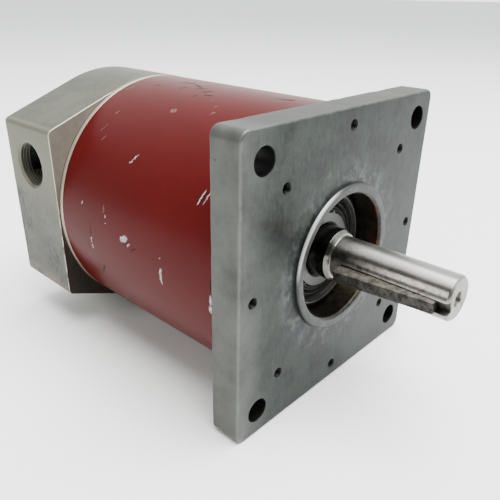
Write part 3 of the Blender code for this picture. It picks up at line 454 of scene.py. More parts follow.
def flange_look():
    """Grey cast and machined face: cloudy, worn at its edges, stained beside the pilot ring."""
    look = Look("flange_casting", metallic=0.6, specular=0.3)
    x, y, z = look.axes()
    clouds = look.noise(15 * mm, 5.0, 0.62)
    mottle = look.noise(2.6 * mm, 5.0, 0.68)
    streaks = look.noise(1.3 * mm, 4.0, 0.65, look.stretched((1.0, 1.0, 0.25)))
    grain = look.noise(0.45 * mm, 2.0, 0.6)
    tone = clouds * 0.5 + mottle * 0.3 + streaks * 0.2
    base = look.mix(look.step(tone, 0.36, 0.64), (0.005, 0.006, 0.0055), (0.028, 0.033, 0.03))
    side = look.step(x, FACE_X - 0.5 * mm, FACE_X - 1.6 * mm)
    base = look.mix(side, base, look.mix(look.step(tone, 0.38, 0.62), (0.006, 0.006, 0.0045),
                                         (0.028, 0.0275, 0.021)))
    # painted light: the face is painted lighter towards the edge on the conduit's side
    rubbed = look.step(y, -38 * mm, -54 * mm)
    base = look.blend(base, rubbed * clouds, 0.7, (0.13, 0.135, 0.127))
    reach = larger(abs(y), abs(z))
    front = look.step(x, FACE_X - 1.1 * mm, FACE_X - 0.1 * mm)
    ragged = reach + look.noise(2.5 * mm, 4.0) * mm
    worn = front * look.step(ragged, FLANGE_HALF - 0.5 * mm, FLANGE_HALF + 0.4 * mm)
    base = look.blend(base, worn, 0.32, (0.22, 0.22, 0.2))
    # dark bluish stain beside the ring, paler rub marks round it
    stain = look.near(y, z, (-29.5 * mm, 5.0 * mm), 1.0 * mm, 11 * mm, 6 * mm)
    base = look.blend(base, stain, 0.75, (0.006, 0.009, 0.018))
    distance = look.radius(y, z)
    around = look.step(distance, 40 * mm, 28.0 * mm)
    rub = around * look.step(look.noise(6 * mm, 5.0, 0.7), 0.46, 0.62)
    base = look.blend(base, rub, 0.5, (0.1, 0.107, 0.107))
    violet = look.near(y, z, (-22 * mm, -23 * mm), 0.0, 9 * mm, 3 * mm)
    base = look.blend(base, violet, 0.5, (0.04, 0.046, 0.09))
    ring = (look.step(distance, PILOT_R + 0.3 * mm, PILOT_R - 0.3 * mm) *
            look.step(x, FACE_X + 0.4 * mm, FACE_X + 1.2 * mm))
    base = look.blend(base, ring, 0.5, (0.05, 0.053, 0.051))
    # painted highlight: the front face's lower corner on the conduit's side is painted bright
    corner = look.near(y, z, (-FLANGE_HALF, -FLANGE_HALF), 1 * mm, 6 * mm, 3 * mm)
    base = look.blend(base, corner * front, 0.7, (0.42, 0.42, 0.4))
    # painted shade: a dark band at the foot of the pilot ring, where it meets the face
    foot = (look.step(distance, PILOT_R + 0.55 * mm, PILOT_R + 0.1 * mm) *
            look.step(x, FACE_X + 0.9 * mm, FACE_X + 0.5 * mm))
    foot = foot * look.step(distance, BEARING_BORE_R + 2 * mm, PILOT_R - 0.5 * mm)
    base = look.blend(base, foot, 0.7, (0.006, 0.007, 0.007))
    # painted highlight: the ring's outer edge is painted bright on its upper left
    painted_ring_highlight = y * math.cos(math.radians(142)) + z * math.sin(math.radians(142))
    painted_ring_highlight = (look.step(painted_ring_highlight, 0.72 * PILOT_R, 0.97 * PILOT_R) *
           look.step(distance, PILOT_R - 1.3 * mm, PILOT_R - 0.5 * mm))
    painted_ring_highlight = painted_ring_highlight * look.step(x, FACE_X + 0.6 * mm, FACE_X + 1.0 * mm)
    base = look.blend(base, painted_ring_highlight, 0.8, (0.5, 0.51, 0.49))
    pits = look.step(look.cells(9 * mm), 0.06, 0.04) * look.step(look.noise(30 * mm), 0.5, 0.56)
    for place in ((-29.5, 25.4), (-38.4, -42.2), (-35.7, -51.2)):
        pit = look.near(y, z, (place[0] * mm, place[1] * mm), 0.25 * mm, 0.35 * mm, 0.6 * mm)
        pits = larger(pits, pit)
    base = look.blend(base, pits, 0.9, (0.015, 0.015, 0.015))
    # painted shade: the walls of the holes are painted near black
    across, up = abs(y), abs(z)
    diagonal = TAPPED_CIRCLE_R * math.sqrt(0.5)
    inside = look.radius(across - BOLT_HALF_PITCH, up - BOLT_HALF_PITCH) - BOLT_HOLE_R
    for centre in ((TAPPED_CIRCLE_R, 0.0), (0.0, TAPPED_CIRCLE_R), (diagonal, diagonal)):
        from_centre = look.radius(across - centre[0], up - centre[1])
        inside = smaller(inside, from_centre - (TAPPED_HOLE_R + 0.35 * mm))
    inside = (look.step(inside, 0.25 * mm, 0.05 * mm) *
              look.step(x, FACE_X - 0.03 * mm, FACE_X - 0.3 * mm))
    base = look.blend(base, inside, 0.95,
                      look.mix(look.noise(1 * mm), (0.001, 0.001, 0.001), (0.006, 0.0055, 0.005)))
    # the bearing bore: dark brown film, redder towards the far side, with a greasy low corner
    ragged = distance + look.noise(3 * mm, 5.0, 0.7) * mm
    bore = look.step(ragged, BEARING_BORE_R + 1.7 * mm, BEARING_BORE_R + 1.1 * mm)
    film = look.noise(2.5 * mm, 6.0, 0.75)
    rust = look.mix(look.step(film, 0.36, 0.66), (0.006, 0.005, 0.004), (0.028, 0.023, 0.018))
    red = look.step(y, 12 * mm, 23 * mm) * look.step(x, FACE_X - 5 * mm, FACE_X)
    red = red * look.step(look.noise(3 * mm, 5.0, 0.7), 0.42, 0.6)
    rust = look.blend(rust, red, 0.8, (0.06, 0.014, 0.009))
    grease = look.near(y, z, (13.0 * mm, -19.5 * mm), 0.0, 9 * mm, 1.5 * mm)
    rust = look.blend(rust, grease, 0.7, (0.1, 0.085, 0.035))
    look.colour(look.mix(bore, base, rust))
    rough = look.span(clouds * 0.5 + mottle * 0.5, 0.34, 0.58)
    look.rough(rough - larger(worn, bore) * 0.12)
    look.bump(grain, 0.05 * mm, 0.5)
    look.bump(mottle, 0.1 * mm, 0.3)
    look.bump(streaks, 0.05 * mm, 0.3)
    look.bump(pits, -0.25 * mm, 0.8)
    return look.material


def bell_look():
    """Warm grey casting with scuffs under the conduit entry, painted light and shade on its flat side and front
    face, and a rim beside the drum painted bright as a highlight.
    """
    look = Look("bell_casting", metallic=0.6)
    x, y, z = look.axes()
    depth = FACE_X - x
    clouds = look.noise(22 * mm, 5.0, 0.62)
    fine = look.noise(1.6 * mm, 5.0, 0.68)
    grain = look.noise(0.4 * mm, 2.0, 0.6)
    tone = clouds * 0.65 + fine * 0.35
    base = look.mix(look.step(tone, 0.38, 0.62), (0.034, 0.0335, 0.022), (0.078, 0.077, 0.055))
    flat = look.step(y, 3 * mm - BELL_FLAT, 1 * mm - BELL_FLAT)
    # painted light and shade: the flat side is painted lighter high up and darker low down
    high = flat * look.step(z, -10 * mm, 24 * mm)
    base = look.blend(base, high, 0.6, (0.14, 0.135, 0.098))
    base = look.blend(base, flat * look.step(z, 0.0, -34 * mm), 0.5, (0.016, 0.017, 0.015))
    # dull dark scuffs below the entry, a paler patch beside them, warm worn lower edge
    strokes = look.noise(1.8 * mm, 5.0, 0.72, look.stretched((0.9, 1.0, 0.35)))
    low = flat * look.step(z, 10 * mm, -2 * mm)
    pale = look.near(depth, z, (113 * mm, -8 * mm), 3 * mm, 14 * mm, 9 * mm)
    base = look.blend(base, pale * low, 0.45, (0.09, 0.094, 0.087))
    scuff = look.step(strokes, 0.5, 0.6) * look.step(look.noise(14 * mm, 2.0), 0.44, 0.54)
    scuff = scuff * low
    for centre, reach in (((135.0, -9.5), 5.0), ((114.0, -22.0), 6.0), ((137.0, 2.0), 4.5)):
        spot = look.near(depth, z, (centre[0] * mm, centre[1] * mm), reach * mm, 6 * mm, 2.5 * mm)
        scuff = larger(scuff, spot * flat * look.step(strokes, 0.42, 0.56))
    base = look.blend(base, scuff, 0.9, (0.004, 0.0042, 0.004))
    warm = look.step(z, -28 * mm, -35 * mm) * look.step(y, -40 * mm, -50 * mm)
    warm = warm * look.step(look.noise(4 * mm, 5.0, 0.7), 0.38, 0.6)
    base = look.blend(base, warm, 0.7, (0.15, 0.1, 0.07))
    # the box's front face: a brown film with painted shade, painted lighter towards the top as painted light; its
    # front edge and the rim carry painted highlights
    front_x = x_at(BELL_FRONT)
    distance = look.radius(y, z)
    outer = look.step(distance, DRUM_R + 0.05 * mm, DRUM_R + 0.4 * mm)
    face = look.step(x, front_x - 0.12 * mm, front_x - 0.03 * mm) * outer
    patchy = look.noise(3 * mm, 5.0, 0.7)
    film = look.mix(patchy, (0.012, 0.007, 0.0055), (0.045, 0.032, 0.026))
    film = look.blend(film, look.step(z, -5 * mm, 22 * mm), 0.85,
                      look.mix(patchy, (0.17, 0.148, 0.122), (0.34, 0.315, 0.265)))
    base = look.mix(face * 0.9, base, film)
    # painted highlight: the box's front edge is painted bright along the top, and in rubbed patches elsewhere
    edge = (look.step(x, front_x - 0.6 * mm, front_x - 0.3 * mm) *
            look.step(x, front_x - 0.05 * mm, front_x - 0.12 * mm))
    rubbed = look.step(look.noise(5 * mm, 4.0, 0.7), 0.35, 0.6)
    edge = edge * (outer * larger(rubbed, look.step(z, 0.0, 20 * mm)))
    base = look.blend(base, edge, 0.85, (0.5, 0.46, 0.39))
    # painted highlight: the rim is painted bright cream with dark spots, brighter on its upper half
    rim = look.step(x, front_x + 0.05 * mm, front_x + 0.2 * mm)
    spots = look.step(look.noise(1.2 * mm, 4.0, 0.7), 0.62, 0.7)
    rim = rim * look.span(look.step(z, -35 * mm, 10 * mm), 0.5, 1.0)
    base = look.blend(base, rim, 0.9, look.mix(spots, (0.45, 0.36, 0.3), (0.05, 0.035, 0.028)))
    entry = (look.step(y, 0.6 * mm - BELL_FLAT, 2.5 * mm - BELL_FLAT) *
             look.step(y, 14 * mm - BELL_FLAT, 12 * mm - BELL_FLAT))
    inside = entry * look.near(depth, z, (CONDUIT_DEPTH, CONDUIT_Z - AXIS_Z),
                               CONDUIT_R + 1 * mm, 0.2 * mm)
    base = look.blend(base, inside, 0.6, (0.16, 0.145, 0.12))
    look.colour(base)
    look.rough(look.span(tone, 0.36, 0.6))
    look.bump(grain, 0.05 * mm, 0.5)
    look.bump(fine, 0.08 * mm, 0.3)
    look.bump(scuff, -0.06 * mm, 0.5)
    return look.material


# marks in the paint: depth, angle round the drum in degrees, half length, half width (mm) and
# the tilt of the length away from the shaft's direction in degrees
PALE_CHIPS = [
    (64.3, 143.5, 2.5, 0.26, 55),   # thin straight scratch
    (60.0, 175.2, 2.3, 1.3, 25),   # the large chip and its thin tail
    (57.2, 176.8, 1.1, 0.4, 40),
    (82.3, 183.0, 1.5, 0.4, 70),
    (82.1, 186.2, 1.1, 0.45, 105),
    (38.9, 182.6, 2.6, 0.6, 84),    # long chip low on the side
    (38.8, 185.8, 1.2, 0.5, 95),
    (39.3, 175.8, 0.5, 0.3, 0),
    (88.0, 168.0, 0.9, 0.3, 75),
    (72.0, 169.5, 0.7, 0.35, 80),
    (71.8, 172.3, 0.4, 0.3, 0),
    (25.4, 148.6, 3.0, 0.3, 76),    # two scratches beside the flange
    (22.9, 147.6, 3.4, 0.28, 76),
    (13.6, 182.5, 1.9, 0.75, 90),   # paint broken away at the flange
    (13.9, 186.5, 1.5, 0.9, 90),
    (13.1, 170.0, 1.2, 0.3, 90),
]
DULL_MARKS = [
    (62.5, 118.0, 1.6, 1.2, 0),     # round grey spot, high on the side
    (89.5, 125.5, 1.3, 0.4, 55),
    (90.5, 134.5, 2.6, 0.2, 62),
    (87.0, 139.0, 1.6, 0.2, 60),
    (52.2, 106.5, 1.1, 0.35, 60),
    (44.3, 114.6, 1.1, 0.35, 60),
    (46.5, 110.5, 0.9, 0.3, 70),
    (58.5, 101.0, 1.1, 0.7, 0),
    (98.8, 109.5, 2.2, 0.5, 75),
    (97.5, 104.5, 1.6, 0.3, 75),
    (73.5, 167.0, 1.6, 0.3, 100),
]
DARK_MARKS = [
    (78.0, 94.0, 4.5, 0.45, 10),
    (70.0, 96.0, 4.0, 0.4, -18),
    (66.0, 98.5, 3.0, 0.4, 20),
    (60.5, 100.5, 2.2, 0.4, 35),
    (57.0, 103.5, 2.2, 0.35, 10),
    (74.0, 101.0, 1.6, 0.3, 60),
    (88.0, 103.0, 1.8, 0.3, 20),
    (62.0, 106.0, 1.3, 0.3, 70),
    (27.0, 94.0, 3.6, 0.45, 8),
    (25.0, 92.6, 1.8, 0.4, 10),
    (62.4, 205.5, 0.6, 0.4, 0),
    (54.0, 177.6, 1.9, 0.24, 30),
    (58.6, 176.6, 1.7, 0.3, 30),
    (79.0, 197.0, 4.0, 0.2, 50),
    (82.1, 178.5, 2.2, 0.16, 90),
    (24.2, 148.6, 2.6, 0.3, 76),
    (13.4, 176.0, 2.6, 0.35, 90),
]


MARK_INPUTS = ("Along", "Around", "Centre along", "Centre around", "Cos", "Sin", "Half length",
               "Half width")


def chip_group():
    """Node group: 1 inside a ragged oval mark at a place on the unrolled drum."""
    group = bpy.data.node_groups.new("paint_chip", "ShaderNodeTree")
    for name in MARK_INPUTS:
        group.interface.new_socket(name, in_out="INPUT", socket_type="NodeSocketFloat")
    group.interface.new_socket("Mark", in_out="OUTPUT", socket_type="NodeSocketFloat")
    tree = Tree(group)
    source = tree.node("NodeGroupInput").outputs
    along, around, centre_along, centre_around, cos, sin, half_length, half_width = (
        Value(tree, source[name]) for name in MARK_INPUTS)
    du = along - centre_along
    dv = around - centre_around
    a = (du * cos + dv * sin) / half_length
    b = (dv * cos - du * sin) / half_width
    mark = tree.ramp(a * a + b * b, 0.8, 1.15, 1.0, 0.0)
    tree.put(tree.node("NodeGroupOutput").inputs["Mark"], mark)
    return group


def add_marks(look, group, marks, along, around):
    """The union of a list of marks on the drum."""
    total = None
    for depth, angle, half_length, half_width, tilt in marks:
        mark = look.fed(look.node("ShaderNodeGroup", node_tree=group), "Mark", along, around,
                        depth, math.radians(angle) * DRUM_R / mm, math.cos(math.radians(tilt)),
                        math.sin(math.radians(tilt)), half_length, half_width)
        total = larger(total, mark) if total else mark
    return total


def drum_look():
    """Glossy dark red enamel with chips down to the pale metal."""
    look = Look("drum_enamel", specular=0.05)
    x, y, z = look.axes()
    turn = look.math("ARCTAN2", z, y)
    turn = turn + look.math("LESS_THAN", turn, 0.0) * (2 * math.pi)
    wander = (look.noise(1.3 * mm, 5.0, 0.75) - 0.5) * 2.6
    wander_across = (look.noise(1.0 * mm, 5.0, 0.75) - 0.5) * 2.6
    along = (FACE_X - x) / mm + wander
    around = turn * (DRUM_R / mm) + wander_across
    group = chip_group()
    chips = add_marks(look, group, PALE_CHIPS, along, around)
    dull = add_marks(look, group, DULL_MARKS, along, around)
    dark = add_marks(look, group, DARK_MARKS, along, around)
    specks = (look.step(look.cells(6 * mm), 0.04, 0.025) *
              look.step(look.noise(25 * mm, 1.0), 0.55, 0.6))
    clouds = look.noise(30 * mm, 3.0)
    red = look.mix(clouds, (0.05, 0.0036, 0.0036), (0.066, 0.0046, 0.0045))
    grime = look.step(look.noise(9 * mm, 5.0, 0.7), 0.55, 0.75)
    red = look.blend(red, grime, 0.2, (0.05, 0.006, 0.006))
    # the rear edge of the paint is dark where it meets the bell
    rear = look.step(x, x_at(DRUM_BACK - 0.7 * mm), x_at(DRUM_BACK - 0.3 * mm))
    red = look.blend(red, rear, 0.85, (0.012, 0.006, 0.005))
    grain = look.noise(0.7 * mm, 3.0, 0.7)
    bare = look.mix(look.step(grain, 0.4, 0.6), (0.2, 0.165, 0.165), (0.42, 0.38, 0.38))
    base = look.mix(larger(dark, specks), red, (0.012, 0.006, 0.006))
    base = look.blend(base, dull, 0.75,
                      look.mix(look.step(grain, 0.35, 0.65), (0.03, 0.014, 0.012),
                               (0.17, 0.125, 0.11)))
    base = look.mix(chips, base, bare)
    look.colour(base)
    broken = larger(larger(chips, dark), dull)
    rough = look.span(look.noise(3 * mm, 4.0), 0.27, 0.36)
    look.rough(rough + broken * 0.25)
    look.bump(look.noise(3.5 * mm, 1.0), 0.02 * mm, 0.3)
    look.bump(broken, -0.1 * mm, 0.9)
    return look.material


def steel_look(name, dark, light, roughness, tint=None):
    """Turned and ground steel with fine rings; the shaft's has a tint, a stain by the key."""
    look = Look(name, metallic=1.0)
    # the tool marks run round the shaft line, so gleams spread along it
    look.put(look.shader.inputs["Tangent"],
             look.node("ShaderNodeTangent", direction_type="RADIAL", axis="X").outputs[0])
    look.shader.inputs["Anisotropic"].default_value = 0.7
    look.shader.inputs["Anisotropic Rotation"].default_value = 0.25
    rings = look.rings(0.25 * mm)
    clouds = look.noise(7 * mm, 4.0, 0.6)
    base = look.mix(rings * 0.5 + clouds * 0.5, dark, light)
    rough = look.span(rings * 0.4 + clouds * 0.6, roughness * 0.7, roughness * 1.35)
    if tint:
        x, y, z = look.axes()
        distance = look.radius(y, z)
        towards_key = y * math.cos(KEY_ANGLE) + z * math.sin(KEY_ANGLE)
        near_key = (look.step(towards_key, 0.35 * SHAFT_R, 0.9 * SHAFT_R) *
                    look.step(x, FACE_X, FACE_X + 2 * mm))
        spots = look.step(look.noise(1.8 * mm, 5.0, 0.72), 0.45, 0.66)
        base = look.blend(base, near_key * spots, 0.7, tint)
        # dirt in the keyway and in the centre hole
        slot = (look.step(distance, SHAFT_R - 0.15 * mm, SHAFT_R - 0.5 * mm) *
                look.step(x, FACE_X + SHAFT_REACH - 0.2 * mm, FACE_X + SHAFT_REACH - 0.5 * mm))
        slot = slot * look.step(x, FACE_X + 1.0 * mm, FACE_X + 1.5 * mm)
        base = look.blend(base, slot, 0.85,
                          look.mix(look.noise(2 * mm, 4.0, 0.7), (0.02, 0.016, 0.012),
                                   (0.13, 0.12, 0.1)))
        rough = rough + slot * 0.25
        # painted shade: the shaft is painted darker behind the flange face, inside the bore
        seat = look.step(x, FACE_X + 0.3 * mm, FACE_X - 0.3 * mm)
        base = look.blend(base, seat, 0.7, (0.045, 0.043, 0.036))
        rough = rough - seat * 0.1
        end = look.step(x, FACE_X + SHAFT_REACH - 0.1 * mm, FACE_X + SHAFT_REACH - 0.02 * mm)
        rough = rough + end * 0.2
    look.colour(base)
    look.rough(rough)
    look.bump(rings, 0.012 * mm, 0.5)
    return look.material


def dark_ring_look():
    """Outer bearing ring, dark with dirt and painted shade to almost black, with a painted highlight line on its
    inner edge.
    """
    look = Look("greasy_bearing_ring", metallic=0.9)
    _, y, z = look.axes()
    distance = look.radius(y, z)
    clouds = look.noise(3 * mm, 4.0, 0.65)
    # near black: dirt and painted shade
    base = look.mix(clouds, (0.002, 0.002, 0.002), (0.009, 0.0085, 0.008))
    # painted highlight: a bright line on the ring's inner edge
    line = (look.step(distance, SEAL_SEAT_R - 0.1 * mm, SEAL_SEAT_R) *
            look.step(distance, SEAL_SEAT_R + 0.35 * mm, SEAL_SEAT_R + 0.2 * mm))
    base = look.blend(base, line, 0.9, (0.3, 0.29, 0.27))
    look.colour(base)
    look.rough(look.span(clouds, 0.2, 0.4))
    look.bump(look.rings(0.3 * mm), 0.02 * mm, 0.5)
    return look.material


def key_look():
    """Dark pitted steel; the key's two sides are painted a paler tan, partly rubbed wear and partly painted light
    for the side that faces up.
    """
    look = Look("worn_key", metallic=0.75)
    _, y, z = look.axes()
    blotches = look.noise(2.2 * mm, 6.0, 0.68)
    fine = look.noise(0.35 * mm, 3.0, 0.65)
    base = look.mix(look.step(blotches, 0.4, 0.62), (0.008, 0.007, 0.006), (0.045, 0.041, 0.036))
    across = z * math.cos(KEY_ANGLE) - y * math.sin(KEY_ANGLE)
    # the sides paler than the top: partly rubbed wear, partly painted light
    side = look.step(abs(across), 2.02 * mm, 2.12 * mm)
    rubbed = look.mix(look.step(blotches, 0.38, 0.62), (0.03, 0.025, 0.019), (0.1, 0.092, 0.076))
    base = look.mix(side, base, rubbed)
    base = look.blend(base, look.step(fine, 0.56, 0.74), 0.35, (0.015, 0.011, 0.009))
    look.colour(base)
    look.rough(look.span(blotches, 0.36, 0.6))
    look.bump(blotches, 0.14 * mm, 0.6)
    look.bump(fine, 0.05 * mm, 0.5)
    return look.material


def grained_look(name, dark, light, roughness, metallic, size=2 * mm, depth=0.03 * mm,
                 stretch=None, specular=0.5):
    """General finish: two tones in a grain of the given size, with matching gloss and relief."""
    look = Look(name, metallic=metallic, specular=specular)
    vector = look.stretched(stretch) if stretch else None
    grain = look.noise(size, 4.0, 0.6, vector)
    fine = look.noise(size / 5, 2.0, 0.6, vector)
    look.colour(look.mix(look.step(grain, 0.35, 0.65), dark, light))
    look.rough(look.span(grain, roughness * 0.8, roughness * 1.2))
    look.bump(fine, depth, 0.5)
    return look.material


# slot: name, dark and light tone, roughness, metallic, then size, depth, stretch and specular
GRAINED = {
    "ball_cage": ("balls_and_cage", (0.6, 0.6, 0.6), (0.7, 0.7, 0.69), 0.14, 1.0),
    "black_rubber": ("black_rubber", (0.0008, 0.0008, 0.0008), (0.002, 0.002, 0.002), 0.28, 0.0,
                     3 * mm, 0.02 * mm, None, 0.07),
    "gear_steel": ("oiled_gear_steel", (0.3, 0.3, 0.3), (0.42, 0.41, 0.4), 0.32, 1.0,
                   1.5 * mm, 0.01 * mm),
    "bronze": ("oiled_bronze", (0.36, 0.2, 0.07), (0.5, 0.31, 0.13), 0.35, 1.0, 1 * mm),
    "laminations": ("laminations", (0.12, 0.125, 0.135), (0.3, 0.31, 0.33), 0.5, 0.7,
                    0.5 * mm, 0.05 * mm, (1.0, 0.02, 0.02)),
    "copper": ("enamelled_copper", (0.3, 0.08, 0.025), (0.55, 0.2, 0.07), 0.3, 0.8,
               0.6 * mm, 0.15 * mm, (1.0, 0.25, 0.25)),
    "zinc_screws": ("zinc_plate", (0.22, 0.22, 0.2), (0.36, 0.36, 0.33), 0.35, 0.95),
    "brass_terminals": ("terminal_brass", (0.42, 0.29, 0.09), (0.62, 0.46, 0.18), 0.32, 1.0),
    "spring_steel": ("spring_steel", (0.05, 0.05, 0.055), (0.14, 0.14, 0.15), 0.38, 0.9),
    "terminal_plastic": ("terminal_plastic", (0.018, 0.018, 0.018), (0.035, 0.035, 0.034),
                         0.5, 0.0, 1 * mm),
    "gasket": ("gasket_fibre", (0.03, 0.05, 0.04), (0.09, 0.12, 0.1), 0.85, 0.0, 0.8 * mm),
    "lead_insulation": ("sleeve", (0.5, 0.46, 0.38), (0.68, 0.64, 0.56), 0.6, 0.0,
                        0.6 * mm, 0.1 * mm, (0.3, 1.0, 1.0)),
}


def make_looks():
    """The finish of every material slot."""
    looks = {
        "front_casting": flange_look(),
        "bell_casting": bell_look(),
        "red_paint": drum_look(),
        "shaft_steel": steel_look("ground_shaft_steel", (0.21, 0.205, 0.19),
                                  (0.33, 0.322, 0.303), 0.29, (0.11, 0.055, 0.03)),
        "worn_key_steel": key_look(),
        "bearing_steel": steel_look("bearing_ring_steel", (0.05, 0.05, 0.048),
                                    (0.1, 0.1, 0.097), 0.42),
    }
    for slot, finish in GRAINED.items():
        looks[slot] = grained_look(*finish)
    return looks


LOOKS = make_looks()
DARK_RING = dark_ring_look()


def dress_cad_nodes():
    """Give every CAD node its slot's finish; the pieces made below hide some of them."""
    for entry in frame["record"]["subparts"]:
        obj = frame["nodes"][entry["node"]]
        for material_slot in obj.material_slots:
            material_slot.material = LOOKS[entry["material_slot"]]


# ---- outlines -------------------------------------------------------------------------------
def rounded_square(inset):
    """Outline of the flange, with side steps short enough to take wear at its edges."""
    side_steps, corner_steps = 36, 8
    half = FLANGE_HALF - inset
    corner = max(FLANGE_CORNER - inset, 0.5 * mm)
    points = []
    for quarter in range(4):
        middle = math.radians(45 + 90 * quarter)
        centre = Vector(polar((half - corner) * math.sqrt(2), middle))
        for i in range(corner_steps + 1):
            angle = middle + math.pi / 2 * (i / corner_steps - 0.5)
            points.append(centre + Vector(polar(corner, angle)))
        following = middle + math.pi / 2
        next_start = (Vector(polar((half - corner) * math.sqrt(2), following)) +
                      Vector(polar(corner, following - math.pi / 4)))
        last = points[-1]
        points += [last.lerp(next_start, i / side_steps) for i in range(1, side_steps)]
    return [tuple(point) for point in points]


def notched_circle(radius):
    """The drum's inside outline with a notch on each diagonal for the tie bolts."""
    steps_between, notch_steps = 22, 12
    points = []
    half_angle = math.asin(NOTCH_R / radius)
    for diagonal in DIAGONALS:
        turn = Matrix.Rotation(diagonal, 2)
        points.append(polar(radius, diagonal - half_angle))
        for i in range(notch_steps + 1):
            angle = math.radians(270 - 180 * i / notch_steps)
            place = Vector((TAPPED_CIRCLE_R, 0)) + Vector(polar(NOTCH_R, angle))
            points.append(tuple(turn @ place))
        sweep = math.pi / 2 - 2 * half_angle
        points += [polar(radius, diagonal + half_angle + sweep * i / steps_between)
                   for i in range(steps_between)]
    return points


def bell_outline(inset):
    """Round body with a flat side: a circle, two tangents and two rounded corners."""
    steps, corner_steps, side_steps = 120, 8, 24
    radius = BELL_R - inset
    flat = BELL_FLAT - inset
    corner_angle = math.atan2(BELL_FLAT_HALF, -BELL_FLAT)
    tangent = corner_angle - math.acos(BELL_R / math.hypot(BELL_FLAT, BELL_FLAT_HALF))
    round_r = max(2.5 * mm - inset, 0.6 * mm)
    centre_y = -flat + round_r
    centre_z = (radius - round_r - centre_y * math.cos(tangent)) / math.sin(tangent)
    points = [Vector(polar(radius, -tangent + 2 * tangent * i / steps)) for i in range(steps + 1)]
    upper = [Vector((centre_y, centre_z)) +
             Vector(polar(round_r, tangent + (math.pi - tangent) * i / corner_steps))
             for i in range(corner_steps + 1)]
    lower = [Vector((point.x, -point.y)) for point in reversed(upper)]
    for run in (upper, lower, [points[0]]):
        last = points[-1]
        points += [last.lerp(run[0], i / side_steps) for i in range(1, side_steps)]
        points += run
    return [tuple(point) for point in points[:-1]]


